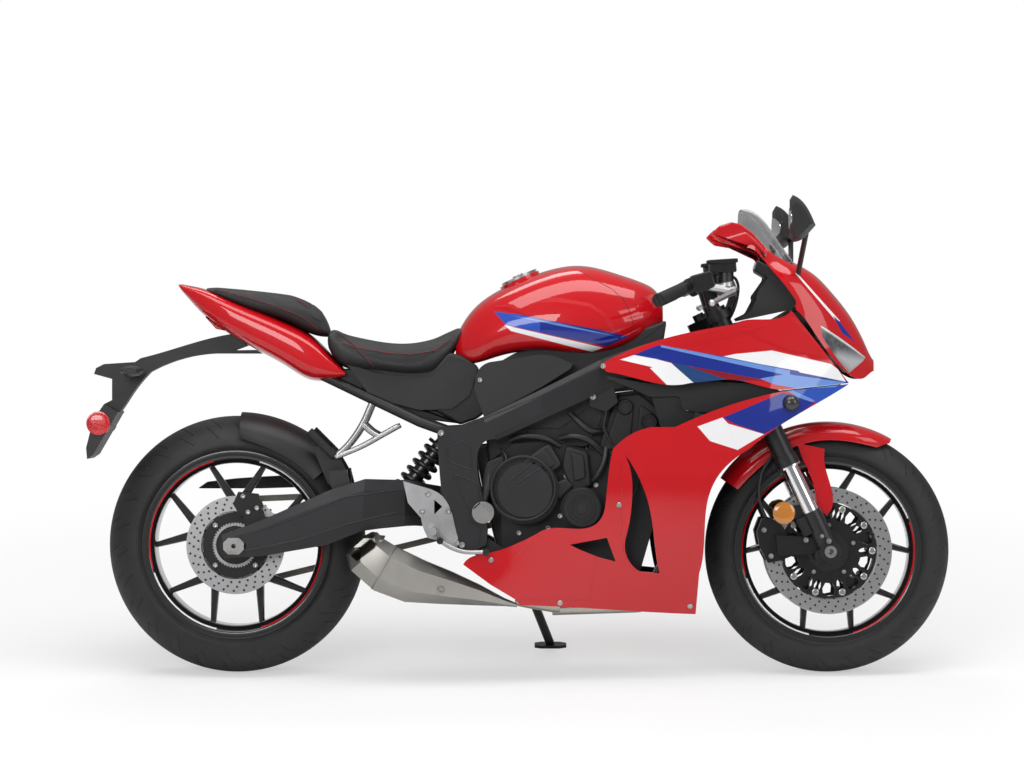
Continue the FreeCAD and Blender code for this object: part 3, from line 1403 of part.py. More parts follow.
# Filler neck ring on the tank and its hinged lid.
def makeFuelCap():
    x, z = spot(*capPixel)
    nearX, nearZ = spot(capPixel[0] - 20, capPixel[1] + 9)
    slope = Vector(x - nearX, 0, z - nearZ).normalize()
    up = Vector(-slope.z, 0, slope.x)
    lidRadius = length("tank_half") * 0.3
    base = Vector(x, 0, z) - up * float(edge)
    tank, place = subParts["fuel_tank"]
    neckOuter = lidRadius * 1.16
    bore = lidRadius * 0.72
    neck = Part.makeCylinder(float(neckOuter), float(edge) * 3, base - up * float(edge), up)
    neck = neck.cut(Part.makeCylinder(float(bore), float(edge) * 8, base - up * float(edge) * 3, up))
    recess = Part.makeCylinder(float(neckOuter) + float(fitGap), float(edge) * 14, base - up * float(edge), up)
    well = Part.makeCylinder(float(bore), float(edge) * 16, base - up * float(edge) * 9, up)
    tank.Shape = tank.Shape.cut(recess).cut(well)
    top = base + up * (float(edge) * 2 + float(fitGap))
    lid = Part.makeCylinder(float(lidRadius), float(edge) * 1.3, top, up)
    plug = Part.makeCylinder(float(bore) - float(edge) * 1.2, float(edge) * 1.5, top - up * float(edge), up)
    key = Part.makeCylinder(float(lidRadius) * 0.3, float(edge) * 0.8, top + up * float(edge) * 1.3, up)
    back = top + slope * (float(lidRadius) * 1.02) + up * float(edge) * 0.7
    knuckle = Part.makeCylinder(float(edge) * 0.6, float(lidRadius) * 0.4,
                                back - Vector(0, float(lidRadius) * 0.2, 0), Vector(0, 1, 0))
    tab = Part.makeBox(float(lidRadius) * 0.3, float(lidRadius) * 0.4, float(edge) * 0.9)
    tab.Placement = Placement(back - slope * (float(lidRadius) * 0.3) - up * float(edge) * 0.45
                              - Vector(0, float(lidRadius) * 0.2, 0),
                              Rotation(Vector(0, 1, 0), -math.degrees(math.atan2(slope.z, slope.x))))
    keepShape("fuel_cap", joinedShape([lid, plug, key, tab, knuckle]))
    tank.Shape = flat(tank.Shape.fuse(neck))
    return back


capHinge = makeFuelCap()

# Mirrors on stalks from the nose.
mirrorPixels = [[(793, 196)], [(800, 200), (812, 218), (815, 225)], [(808, 233), (801, 239), (793, 241)],
                [(790, 230)], [(790, 201)]]
mirrorFootPixel, mirrorNeckPixel, mirrorMiddlePixel = (799, 267), (806, 236), (802, 219)


def makeMirrors():
    outer = barTipY * 1.07
    inner = barTipY * 0.70
    rings = []
    middleX, middleZ = spot(*mirrorMiddlePixel, outer)
    for y, size in ((inner, 0.5), (inner * 1.12, 0.9), (outer * 0.9, 1.0), (outer, 0.72)):
        wire = sideWire(mirrorPixels, y)
        centre = Vector(middleX, -float(y), middleZ)
        wire.scale(size, centre)
        rings.append(wire)
    housing = loft(rings)
    footX, footZ = spot(*mirrorFootPixel, length("nose_half"))
    neckX, neckZ = spot(*mirrorNeckPixel, inner * 1.1)
    stalk = rod((footX, -length("nose_half") * 0.80, footZ - float(edge) * 3),
                (neckX, -inner * 1.1, neckZ + float(edge)), edge * 1.3)
    both = joinedShape([housing, stalk])
    nose = subParts["nose_cowl"][0].Shape
    both = both.cut(nose)
    both = largest(both)
    keepShape("mirrors", Part.Compound([both, mirrored(both)]))


makeMirrors()

# Footrests, pedals and stand
footPlatePixels = [[(403, 481)], [(430, 489)], [(449, 506), (454, 522), (458, 538)], [(457, 548)], [(445, 542)],
                   [(428, 538)], [(424, 530), (421, 518)], [(408, 503)]]
footHolePixels = [[(434, 500)], [(442, 507)], [(434, 515)]]
pegPixel = (433, 530)


def makeFootrests():
    inner = sparY + sparThickness / 2 + fitGap
    outer = inner + wall * 2
    plate = sidePlate(footPlatePixels, outer, inner).cut(sidePlate(footHolePixels, outer * 1.2, inner * 0.8))
    x, z = spot(*pegPixel, outer)
    peg = rod((x, -inner, z), (x, -inner - barTipY * 0.28, z), edge * 2)
    guard = rod((x, -inner, z), (x, -outer - edge, z), edge * 3.2)
    solid = joinedShape([plate, peg, guard])
    keepShape("rider_footrests", Part.Compound([solid, mirrored(solid)]))


makeFootrests()

stayPixels = [[(368, 403)], [(378, 404)], [(366, 428), (348, 447)], [(380, 430), (396, 420)], [(402, 428)],
              [(370, 450), (346, 460), (334, 461)], [(328, 452)], [(345, 436), (358, 420)]]
foldedPegPixels = ((309, 431), (333, 455))
stayBossPixels = ((372, 403, 0.79), (397, 424, 0.86))  # column, row, share of the rail's distance out


def makeStays():
    y = length("tail_half") * 0.98
    stay = sidePlate(stayPixels, y + wall * 2, y)
    bosses = []
    for column, row, wide in stayBossPixels:
        x, z = spot(column, row, y)
        railY = float(sparY - sparThickness / 2 - fitGap - railRadius) * wide
        bosses.append(rod((x, -y, z), (x, -railY, z), edge * 1.4))
    firstX, firstZ = spot(*foldedPegPixels[0], y)
    lastX, lastZ = spot(*foldedPegPixels[1], y)
    peg = rod((firstX, -y - edge * 2, firstZ), (lastX, -y - edge * 2, lastZ), edge * 1.8)
    solid = joinedShape([stay, peg] + bosses)
    for side in (-1, 1):
        solid = solid.cut(pipe(railPoints(side), railRadius + fitGap, railRadius * 3))
    solid = largest(solid)
    keepShape("passenger_footrests", Part.Compound([solid, mirrored(solid)]))


makeStays()

lean = length("lean_angle")
standRadius = length("stand_radius")
standPivotY, standFootY = length("stand_pivot_y"), length("stand_foot_y")
standPivotPixel = (522, 575)


# The height of the ground at a distance to the left, in the upright bike's frame, once it leans.
def groundHeight(y):
    lift = float(rearCrown) * (1 - math.cos(math.radians(float(lean))))
    slope = math.tan(math.radians(float(lean)))
    return float(y) * slope - lift / math.cos(math.radians(float(lean)))


standPivotX, standPivotZ = spot(*standPivotPixel)
standFootX = standPivotX + float(wheelbase) * 0.05
standPivot = Vector(standPivotX, float(standPivotY), standPivotZ)
standAxis = Vector(-0.16, 0.96, 0.23).normalize()


def makeSideStand():
    gauge, radius = float(length("stand_foot_gauge")), float(standRadius)
    slope = math.radians(float(lean))
    across = Vector(0, math.cos(slope), math.sin(slope))
    up = Vector(0, -math.sin(slope), math.cos(slope))
    base = Vector(standFootX, float(standFootY), groundHeight(standFootY))
    halfLong, halfWide = float(length("stand_foot_length")) / 2, float(length("stand_foot_width")) / 2
    down = base - standPivot
    down = (down - standAxis * down.dot(standAxis)).normalize()
    start = standPivot + down * radius * 1.1
    knee = start + down * radius * 3
    leg = pipe([start, knee, base + up * gauge * 0.9], radius, radius * 4)
    eyeHalf = radius * 1.15
    eye = rod(standPivot - standAxis * eyeHalf, standPivot + standAxis * eyeHalf, radius * 1.7)
    corners = [base + Vector(dx * halfLong, 0, 0) + across * (dy * halfWide)
               for dx, dy in ((-1, -0.6), (-0.6, -1), (0.6, -1), (1, -0.5), (1, 0.5), (0.6, 1), (-0.6, 1), (-1, 0.6))]
    pad = Part.Face(Part.makePolygon(corners + [corners[0]])).extrude(up * gauge)
    solid = joinedShape([leg, eye, pad])
    wide = [base + Vector(dx * halfLong * 9, 0, 0) + across * (dy * halfWide * 9)
            for dx, dy in ((-1, -1), (1, -1), (1, 1), (-1, 1), (-1, -1))]
    solid = solid.cut(Part.Face(Part.makePolygon(wide)).extrude(up * (-gauge * 9)))
    bore = rod(standPivot - standAxis * radius * 4, standPivot + standAxis * radius * 4, radius * 0.6 + float(shaftGap))
    solid = solid.cut(bore)
    keepShape("side_stand", solid)
    gap = float(fitGap)
    boss = rod(standPivot - standAxis * radius * 5, standPivot - standAxis * (eyeHalf + gap), radius * 1.9)
    bolt = rod(standPivot - standAxis * radius * 4, standPivot + standAxis * radius * 1.6, radius * 0.6)
    head = rod(standPivot + standAxis * (eyeHalf + gap), standPivot + standAxis * radius * 1.6, radius)
    bracket = joinedShape([boss, bolt, head]).cut(subParts["crankcase"][0].Shape)
    keepShape("stand_bracket", largest(bracket))


makeSideStand()

# Chain drive on the left: the driving sprocket and the chain's two rows of plates with their rollers.
pinionX, pinionZ = length("pinion_x"), length("pinion_z")
pinionRadius, sprocketRadius = length("pinion_radius"), length("sprocket_radius")


# The closed chain line at some distance outside the rollers' centres, as an outline.
def chainOutline(offset):
    span = Vector(float(pinionX), 0, float(pinionZ - rearRadius))
    distance = span.Length
    tilt = math.atan2(span.z, span.x)
    closing = math.asin((float(sprocketRadius) - float(pinionRadius)) / distance)
    big, small = float(sprocketRadius) + offset, float(pinionRadius) + offset
    rear, front = Vector(0, 0, float(rearRadius)), Vector(float(pinionX), 0, float(pinionZ))

    def rim(centre, radius, angle):
        return centre + Vector(math.cos(angle) * radius, 0, math.sin(angle) * radius)

    top, bottom = tilt + math.pi / 2 - closing, tilt - math.pi / 2 + closing
    a, b = rim(rear, big, top), rim(front, small, top)
    c, d = rim(front, small, bottom), rim(rear, big, bottom)
    edges = [Part.LineSegment(a, b).toShape(), Part.Arc(b, rim(front, small, tilt), c).toShape(),
             Part.LineSegment(c, d).toShape(), Part.Arc(d, rim(rear, big, tilt + math.pi), a).toShape()]
    return Part.Face(Part.Wire(edges))


# The rollers' places: one pitch apart along both straight runs, and round the driving sprocket.
def rollerPlaces():
    rear, front = Vector(0, 0, float(rearRadius)), Vector(float(pinionX), 0, float(pinionZ))
    span = front - rear
    tilt = math.atan2(span.z, span.x)
    closing = math.asin((float(sprocketRadius) - float(pinionRadius)) / span.Length)
    pitch = float(length("chain_pitch"))
    places = []
    for turn in (math.pi / 2 - closing, closing - math.pi / 2):
        away = Vector(math.cos(tilt + turn), 0, math.sin(tilt + turn))
        start, end = rear + away * float(sprocketRadius), front + away * float(pinionRadius)
        run = end - start
        count = int(run.Length / pitch)
        places += [end - run * (step * pitch / run.Length) for step in range(count - 2)]
    steps = int(math.pi * float(pinionRadius) / pitch)
    for step in range(1, steps):
        angle = tilt + math.pi / 2 - closing - step * (math.pi - 2 * closing) / steps
        places.append(front + Vector(math.cos(angle), 0, math.sin(angle)) * float(pinionRadius))
    return places


def makeChain():
    half = float(length("chain_height")) / 2
    band = chainOutline(half).cut(chainOutline(-half))
    gauge = float(length("chain_plate"))
    inner = float(length("chain_inner_width")) / 2
    middle = float(chainY)
    rows = []
    for y in (middle + inner, middle - inner - gauge):
        row = band.copy()
        row.translate(Vector(0, y, 0))
        rows.append(row.extrude(Vector(0, gauge, 0)))
    roller = float(length("roller_radius"))
    corners = range(7)
    for place in rollerPlaces():
        ring = [place + Vector(math.cos(k * math.pi / 3) * roller, middle - inner, math.sin(k * math.pi / 3) * roller)
                for k in corners]
        rows.append(Part.Face(Part.makePolygon(ring)).extrude(Vector(0, 2 * inner, 0)))
    keepShape("chain", flat(rows[0].multiFuse(rows[1:])))
    gaugeHalf = length("sprocket_gauge") / 2
    teeth = rod((pinionX, chainY - gaugeHalf, pinionZ), (pinionX, chainY + gaugeHalf, pinionZ),
                pinionRadius - length("roller_radius") - fitGap)
    shaft = rod((pinionX, sprocketRoom, pinionZ), (pinionX, chainY + gaugeHalf * 2.8, pinionZ),
                pinionRadius * 0.4)
    case = subParts["crankcase"][0]
    case.Shape = flat(case.Shape.fuse(teeth).fuse(shaft))


makeChain()


# Parking: lean everything to the left about the line on the ground, lift the tyres' crowns back onto
# it, and move the origin to the middle of the footprint.
document.recompute()
middleX, middleY = length("middle_x"), length("middle_y")
lift = rearCrown * (1 - cosine(lean))
for label, (thing, at) in subParts.items():
    x, y, z = at
    base = (x - middleX, y * cosine(lean) + z * sine(lean) - middleY, z * cosine(lean) - y * sine(lean) + lift)
    thing.Placement = Placement(Vector(*[float(asSize(amount)) for amount in base]),
                                Rotation(Vector(1, 0, 0), -float(lean)))
    for axis, amount in zip("xyz", base):
        thing.setExpression(f"Placement.Base.{axis}", asSize(amount).formula)
document.recompute()

failed = [thing.Name for thing in document.Objects if "Invalid" in thing.State or "Error" in thing.State]
for label, (thing, at) in subParts.items():
    if thing.Shape.isNull() or not thing.Shape.isValid() or not thing.Shape.Solids:
        failed.append(label)
if failed:
    sys.exit("These failed to build: " + ", ".join(failed))
os.makedirs("parts", exist_ok=True)
for label, (thing, at) in subParts.items():
    thing.Shape.exportStep(f"parts/{label}.step")
print(len(subParts), "sub-parts written")
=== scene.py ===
import bmesh
import bpy
import json
import math
import numpy as np
from mathutils import Matrix, Vector
from mathutils.bvhtree import BVHTree

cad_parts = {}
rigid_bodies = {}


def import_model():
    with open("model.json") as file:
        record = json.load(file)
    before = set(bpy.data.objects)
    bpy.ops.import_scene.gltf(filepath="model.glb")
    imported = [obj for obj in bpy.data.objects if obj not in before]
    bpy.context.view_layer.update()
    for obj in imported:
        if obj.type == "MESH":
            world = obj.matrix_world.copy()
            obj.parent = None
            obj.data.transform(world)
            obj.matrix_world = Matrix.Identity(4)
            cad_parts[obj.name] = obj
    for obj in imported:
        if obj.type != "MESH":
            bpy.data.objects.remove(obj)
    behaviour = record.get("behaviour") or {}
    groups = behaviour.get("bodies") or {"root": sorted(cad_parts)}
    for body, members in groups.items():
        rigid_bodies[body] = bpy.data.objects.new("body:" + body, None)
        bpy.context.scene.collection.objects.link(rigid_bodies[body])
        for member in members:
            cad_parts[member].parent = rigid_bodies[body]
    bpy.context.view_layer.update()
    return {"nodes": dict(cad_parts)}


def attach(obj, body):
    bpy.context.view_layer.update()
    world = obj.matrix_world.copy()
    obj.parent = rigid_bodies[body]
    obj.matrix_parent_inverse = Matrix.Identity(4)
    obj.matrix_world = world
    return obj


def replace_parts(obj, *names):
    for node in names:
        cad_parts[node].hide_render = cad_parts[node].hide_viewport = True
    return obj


# Sport bike with red, blue and white bodywork, leaning on its side stand.

for leftover in list(bpy.data.objects):
    bpy.data.objects.remove(leftover)
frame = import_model()
nodes = frame["nodes"]
print("frame loaded,", len(nodes), "nodes")

# Places on the machine: metres, upright, X forward from the rear axle, Y to the left, Z up from the ground.
machine = {"leanDegrees": 10.0, "middle": (0.6923, 0.1789, -0.001367), "metresPerPixel": 1.45 / 588.7,
           "eye": (0.67513, 0.70812), "eyeDistance": 10.0, "picture": (1024, 768),
           "frontAxle": (1.45, 0.0, 0.300), "rearAxle": (0.0, 0.0, 0.315), "rakeDegrees": 25.5}
leanSine = math.sin(math.radians(machine["leanDegrees"]))
leanCosine = math.cos(math.radians(machine["leanDegrees"]))
pictureMiddle = [size / 2 for size in machine["picture"]]
frontAxle, rearAxle = machine["frontAxle"], machine["rearAxle"]
fullTurn = 2 * math.pi
bothSides, sideNames = (1, -1), ("Right", "Left")
nearAxis = 0.0004  # where the middle of a turned profile starts


def leaned(points):
    # upright places to the leaning frame: a turn about X, then the move to the middle of the footprint
    p = np.asarray(points, float)
    middle = machine["middle"]
    return np.stack([p[..., 0] - middle[0], p[..., 1] * leanCosine + p[..., 2] * leanSine - middle[1],
                     p[..., 2] * leanCosine - p[..., 1] * leanSine - middle[2]], -1)


def upright(points):
    # the way back from the leaning frame
    p = np.asarray(points, float)
    middle = machine["middle"]
    across, above = p[..., 1] + middle[1], p[..., 2] + middle[2]
    return np.stack([p[..., 0] + middle[0], across * leanCosine - above * leanSine,
                     across * leanSine + above * leanCosine], -1)


def spot(column, row, out=0.0):
    # the upright place seen at a column and row of the picture, so far out from the middle plane
    near = machine["metresPerPixel"] * (1 - np.asarray(out, float) / machine["eyeDistance"])
    x = machine["eye"][0] + (np.asarray(column, float) - pictureMiddle[0]) * near
    z = machine["eye"][1] - (np.asarray(row, float) - pictureMiddle[1]) * near
    return np.stack(np.broadcast_arrays(x, -np.asarray(out, float), z), -1)


# Mesh helpers

def meshPiece(name, points, faces, finish, body, sharp=None, uv=None, smooth=True):
    # upright points and their faces as one piece, with edges over the sharp angle left sharp
    mesh = bpy.data.meshes.new(name)
    mesh.from_pydata(leaned(points).reshape(-1, 3).tolist(), [], faces)
    if uv is not None:
        layer = mesh.uv_layers.new(name="UVMap")
        layer.data.foreach_set("uv", np.asarray(uv, np.float32).ravel())
    mesh.polygons.foreach_set("use_smooth", [smooth] * len(mesh.polygons))
    if sharp is not None:
        mesh.set_sharp_from_angle(angle=math.radians(sharp))
    mesh.materials.append(finish)
    mesh.update()
    piece = bpy.data.objects.new(name, mesh)
    bpy.context.scene.collection.objects.link(piece)
    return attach(piece, body)


def outwardNormals(mesh):
    # turns the faces of closed shells outwards
    work = bmesh.new()
    work.from_mesh(mesh)
    bmesh.ops.recalc_face_normals(work, faces=work.faces)
    work.to_mesh(mesh)
    work.free()


def gridFaces(rows, columns, wrapRows=False, wrapColumns=False):
    # quads between neighbours of a grid, and the same corners as shares of the grid for the UV map
    i, j = np.meshgrid(np.arange(rows if wrapRows else rows - 1),
                       np.arange(columns if wrapColumns else columns - 1), indexing="ij")
    i, j = i.ravel(), j.ravel()
    corners = [(i, j), (i, j + 1), (i + 1, j + 1), (i + 1, j)]
    faces = np.stack([(a % rows) * columns + b % columns for a, b in corners], -1)
    uv = np.stack([np.stack([a / max(rows - (0 if wrapRows else 1), 1),
                             b / max(columns - (0 if wrapColumns else 1), 1)], -1) for a, b in corners], 1)
    return faces, uv


def sheetFaces(rows, columns):
    # both faces of a grid and the strip round their edges; the second face's corners follow the first's
    quads, _ = gridFaces(rows, columns)
    index = np.arange(rows * columns).reshape(rows, columns)
    edge = np.concatenate([index[0], index[1:, -1], index[-1, -2::-1], index[-2:0:-1, 0]])
    after = np.roll(edge, -1)
    strip = np.stack([after, edge, edge + index.size, after + index.size], -1)
    return np.concatenate([quads, quads[:, ::-1] + index.size, strip]).tolist()


def wheelRing(profile, centre, steps):
    # a profile of (radius, across) carried once round the axle
    turn = np.linspace(0, fullTurn, steps, endpoint=False)[:, None]
    radius, across = profile[None, :, 0], profile[None, :, 1]
    x = centre[0] + radius * np.cos(turn)
    z = centre[2] + radius * np.sin(turn)
    return np.stack(np.broadcast_arrays(x, across + centre[1], z), -1)


def boltHeads(name, places, outwards, radius, height, finish, body, sides=12):
    # each head is a round profile with a sunk middle, turned about its own outward direction
    profile = np.array([(1, 0), (1, 0.7), (0.85, 1), (0.5, 1), (0.45, 0.55), (0.001, 0.5)])
    turn = np.linspace(0, fullTurn, sides, endpoint=False)
    ring = np.stack([profile[:, None, 0] * np.cos(turn), profile[:, None, 0] * np.sin(turn),
                     np.repeat(profile[:, 1:2], sides, 1)], -1) * (radius, radius, height)
    places, outwards = np.asarray(places, float), np.asarray(outwards, float)
    outwards = outwards / np.linalg.norm(outwards, axis=-1, keepdims=True)
    helper = np.where(np.abs(outwards[:, :1]) > 0.9, (0, 0, 1), (1, 0, 0))
    side = np.cross(outwards, helper)
    side /= np.linalg.norm(side, axis=-1, keepdims=True)
    other = np.cross(outwards, side)
    flat = ring.reshape(-1, 3)
    points = (places[:, None] + flat[None, :, :1] * side[:, None] + flat[None, :, 1:2] * other[:, None]
              + flat[None, :, 2:] * outwards[:, None])
    count = len(flat)
    quads, _ = gridFaces(len(profile), sides, False, True)
    faces = []
    for index in range(len(places)):
        faces += (quads[:, ::-1] + index * count).tolist()
        faces.append((np.arange(sides)[::-1] + index * count).tolist())
        faces.append((np.arange(count - sides, count) + index * count).tolist())
    return meshPiece(name, points, faces, finish, body, 40)


# Finishes

class NodeTree:
    # helpers that add nodes to a material or to the world
    def __init__(self, tree):
        self.tree = tree

    def node(self, kind, **values):
        # a new node with some of its settings
        made = self.tree.nodes.new(kind)
        for key, value in values.items():
            setattr(made, key, value)
        return made

    def join(self, output, socket):
        # a link from an output to a socket
        self.tree.links.new(output, socket)

    def fill(self, sockets, values):
        # each value is a plain number or tuple, another node's output, or nothing
        for socket, value in zip(sockets, values):
            if isinstance(value, (int, float, tuple)):
                socket.default_value = value
            elif value is not None:
                self.join(value, socket)

    def math(self, operation, *values):
        # one step of arithmetic
        made = self.node("ShaderNodeMath", operation=operation)
        self.fill(made.inputs, values)
        return made.outputs[0]

    def rest(self, value):
        # what is left of 1
        return self.math("SUBTRACT", 1.0, value)

    def length(self, first, second):
        # square root of the sum of two squares
        squares = [self.math("MULTIPLY", value, value) for value in (first, second)]
        return self.math("SQRT", self.math("ADD", *squares))

    def vector(self, operation, *values):
        # one step with vectors; a dot product or length is a plain value
        made = self.node("ShaderNodeVectorMath", operation=operation)
        self.fill(made.inputs, values)
        return made.outputs["Value" if operation in ("DOT_PRODUCT", "LENGTH") else "Vector"]

    def axes(self, vector):
        # the separate X, Y and Z of a vector
        made = self.node("ShaderNodeSeparateXYZ")
        self.join(vector, made.inputs[0])
        return made.outputs

    def combined(self, *values):
        # one vector of up to three values
        made = self.node("ShaderNodeCombineXYZ")
        self.fill(made.inputs, values)
        return made.outputs[0]

    def coordinates(self, kind):
        # the texture coordinates of one kind
        return self.node("ShaderNodeTexCoord").outputs[kind]

    def place(self, centre=(0, 0, 0), scale=(1, 1, 1)):
        # Object coordinates turned upright, measured from a centre
        mapping = self.node("ShaderNodeMapping")
        self.join(self.coordinates("Object"), mapping.inputs["Vector"])
        mapping.inputs["Rotation"].default_value = (math.radians(machine["leanDegrees"]), 0, 0)
        mapping.inputs["Location"].default_value = upright((0, 0, 0)) - np.array(centre)
        mapping.inputs["Scale"].default_value = scale
        return mapping.outputs[0]

    def ramp(self, value, low, high):
        # 0 below low, 1 above high
        made = self.node("ShaderNodeMapRange", interpolation_type="SMOOTHSTEP")
        self.join(value, made.inputs["Value"])
        made.inputs["From Min"].default_value = low
        made.inputs["From Max"].default_value = high
        return made.outputs["Result"]

    def band(self, value, low, high, soft):
        # 1 between low and high, with soft edges just inside them
        falling = self.rest(self.ramp(value, high - soft, high))
        return self.math("MULTIPLY", self.ramp(value, low, low + soft), falling)

    def shift(self, value, low, high):
        # 0 to 1 becomes low to high
        made = self.node("ShaderNodeMapRange")
        self.join(value, made.inputs["Value"])
        made.inputs["To Min"].default_value = low
        made.inputs["To Max"].default_value = high
        return made.outputs["Result"]

    def noise(self, scale, detail=3.0, vector=None, roughness=0.55):
        # soft noise between 0 and 1, on Object coordinates if no vector is given
        made = self.node("ShaderNodeTexNoise")
        made.inputs["Scale"].default_value = scale
        made.inputs["Detail"].default_value = detail
        made.inputs["Roughness"].default_value = roughness
        if vector is None:
            vector = self.coordinates("Object")
        self.join(vector, made.inputs["Vector"])
        return made.outputs["Fac"]

    def layer(self, below, mask, color):
        # color over what is below, where the mask is 1
        made = self.node("ShaderNodeMix", data_type="RGBA")
        self.join(mask, made.inputs[0])
        values = [(*value, 1) if isinstance(value, tuple) else value for value in (below, color)]
        self.fill(made.inputs[6:8], values)
        return made.outputs[2]


class Finish(NodeTree):
    # a principled surface to which pattern nodes are added
    def __init__(self, name, color, roughness, metallic=0.0, coat=0.0, coatRoughness=0.04):
        self.material = bpy.data.materials.new(name)
        self.material.use_nodes = True
        super().__init__(self.material.node_tree)
        self.shader = self.tree.nodes["Principled BSDF"]
        self.color = color
        values = {"Base Color": (*color, 1), "Roughness": roughness, "Metallic": metallic,
                  "Coat Weight": coat, "Coat Roughness": coatRoughness}
        for key, value in values.items():
            self.shader.inputs[key].default_value = value

    def paint(self, value):
        # the base colour comes from a node
        self.join(value, self.shader.inputs["Base Color"])

    def rough(self, value):
        # the roughness comes from a node
        self.join(value, self.shader.inputs["Roughness"])

    def metal(self, value):
        # the share of metal comes from a node
        self.join(value, self.shader.inputs["Metallic"])

    def bump(self, height, strength, distance=0.001):
        # a relief laid over the reliefs that are there already
        made = self.node("ShaderNodeBump")
        made.inputs["Strength"].default_value = strength
        made.inputs["Distance"].default_value = distance
        if self.shader.inputs["Normal"].is_linked:
            self.join(self.shader.inputs["Normal"].links[0].from_socket, made.inputs["Normal"])
        self.join(height, made.inputs["Height"])
        self.join(made.outputs[0], self.shader.inputs["Normal"])

    def drift(self, color, scale, detail, low, high, share):
        # a slow change from one colour to a darker share of it
        dark = tuple(part * share for part in color)
        return self.layer(color, self.ramp(self.noise(scale, detail), low, high), dark)

    def grain(self, scale, strength, distance=0.0004, shade=0.15, rough=0.08):
        # fine bump, with a slow drift of colour and roughness over the surface
        self.bump(self.noise(scale, 4.0), strength, distance)
        self.paint(self.drift(self.color, 9.0, 4.0, 0.35, 0.7, 1 - shade))
        level = self.shader.inputs["Roughness"].default_value
        self.rough(self.shift(self.noise(35.0), max(0.0, level - rough), min(1.0, level + rough)))
        return self

    def ribs(self, pitch, strength, distance):
        # even ribs that follow one another across the machine
        across = self.axes(self.place())["Y"]
        self.bump(self.math("SINE", self.math("MULTIPLY", across, fullTurn / pitch)), strength, distance)
        return self


def pictureSpot(finish):
    # (column, row, 1) of the picture for a place on either side of the machine
    place = finish.axes(finish.place())
    out = finish.math("ABSOLUTE", place["Y"])
    near = finish.math("MULTIPLY_ADD", out, -machine["metresPerPixel"] / machine["eyeDistance"],
                       machine["metresPerPixel"])
    across = finish.math("DIVIDE", finish.math("SUBTRACT", place["X"], machine["eye"][0]), near)
    down = finish.math("DIVIDE", finish.math("SUBTRACT", machine["eye"][1], place["Z"]), near)
    return finish.combined(finish.math("ADD", across, pictureMiddle[0]),
                           finish.math("ADD", down, pictureMiddle[1]), 1.0)


def insideShape(finish, at, corners, soft=0.35):
    # 1 inside a convex outline: the least of the distances to its sides, softened at the edge
    corners = np.asarray(corners, float)
    following = np.roll(corners, -1, 0)
    if np.sum(corners[:, 0] * following[:, 1] - following[:, 0] * corners[:, 1]) < 0:
        corners, following = corners[::-1], np.roll(corners[::-1], -1, 0)
    along = following - corners
    inward = np.stack([-along[:, 1], along[:, 0]], -1) / np.linalg.norm(along, axis=1, keepdims=True)
    least = None
    for normal, corner in zip(inward, corners):
        side = finish.vector("DOT_PRODUCT", at, (*normal.tolist(), -float(normal @ corner)))
        least = side if least is None else finish.math("MINIMUM", least, side)
    return finish.ramp(least, -soft, soft)


def outerFace(finish, centre, along=(1, 1, 1)):
    # 1 where the surface faces away from the centre, 0 on a shell's inner side
    turned = finish.node("ShaderNodeVectorRotate", rotation_type="X_AXIS")
    finish.join(finish.coordinates("Normal"), turned.inputs["Vector"])
    turned.inputs["Angle"].default_value = math.radians(machine["leanDegrees"])
    away = finish.vector("NORMALIZE", finish.vector("MULTIPLY", finish.place(centre), along))
    return finish.ramp(finish.vector("DOT_PRODUCT", turned.outputs[0], away), -0.30, -0.25)


black = (0.010, 0.010, 0.011)
colors = {"red": (0.52, 0.003, 0.008), "deepRed": (0.24, 0.003, 0.008), "white": (0.80, 0.80, 0.81),
          "navy": (0.006, 0.022, 0.24), "blue": (0.020, 0.075, 0.42), "sky": (0.13, 0.26, 0.62),
          "slate": (0.012, 0.05, 0.17)}


def paintFinish(name, layers=(), shell=None, creases=()):
    # glossy coated red with flat colour areas, each a convex outline in picture columns and rows
    finish = Finish(name, colors["red"], 0.30, 0.0, 1.0, 0.03)
    finish.shader.inputs["Specular IOR Level"].default_value = 0.1
    below = finish.drift(colors["red"], 2.2, 2.0, 0.3, 0.75, 0.92)
    at = pictureSpot(finish) if layers or creases else None
    for color, corners in layers:
        below = finish.layer(below, insideShape(finish, at, corners), colors[color])
    if shell:
        below = finish.layer(black, outerFace(finish, *shell), below)
    finish.paint(below)
    for corners, depth in creases:
        finish.bump(insideShape(finish, at, corners, 2.5), depth, 0.004)
    finish.bump(finish.noise(260.0, 2.0), 0.05, 0.0003)
    finish.rough(finish.shift(finish.noise(60.0), 0.26, 0.36))
    return finish.material


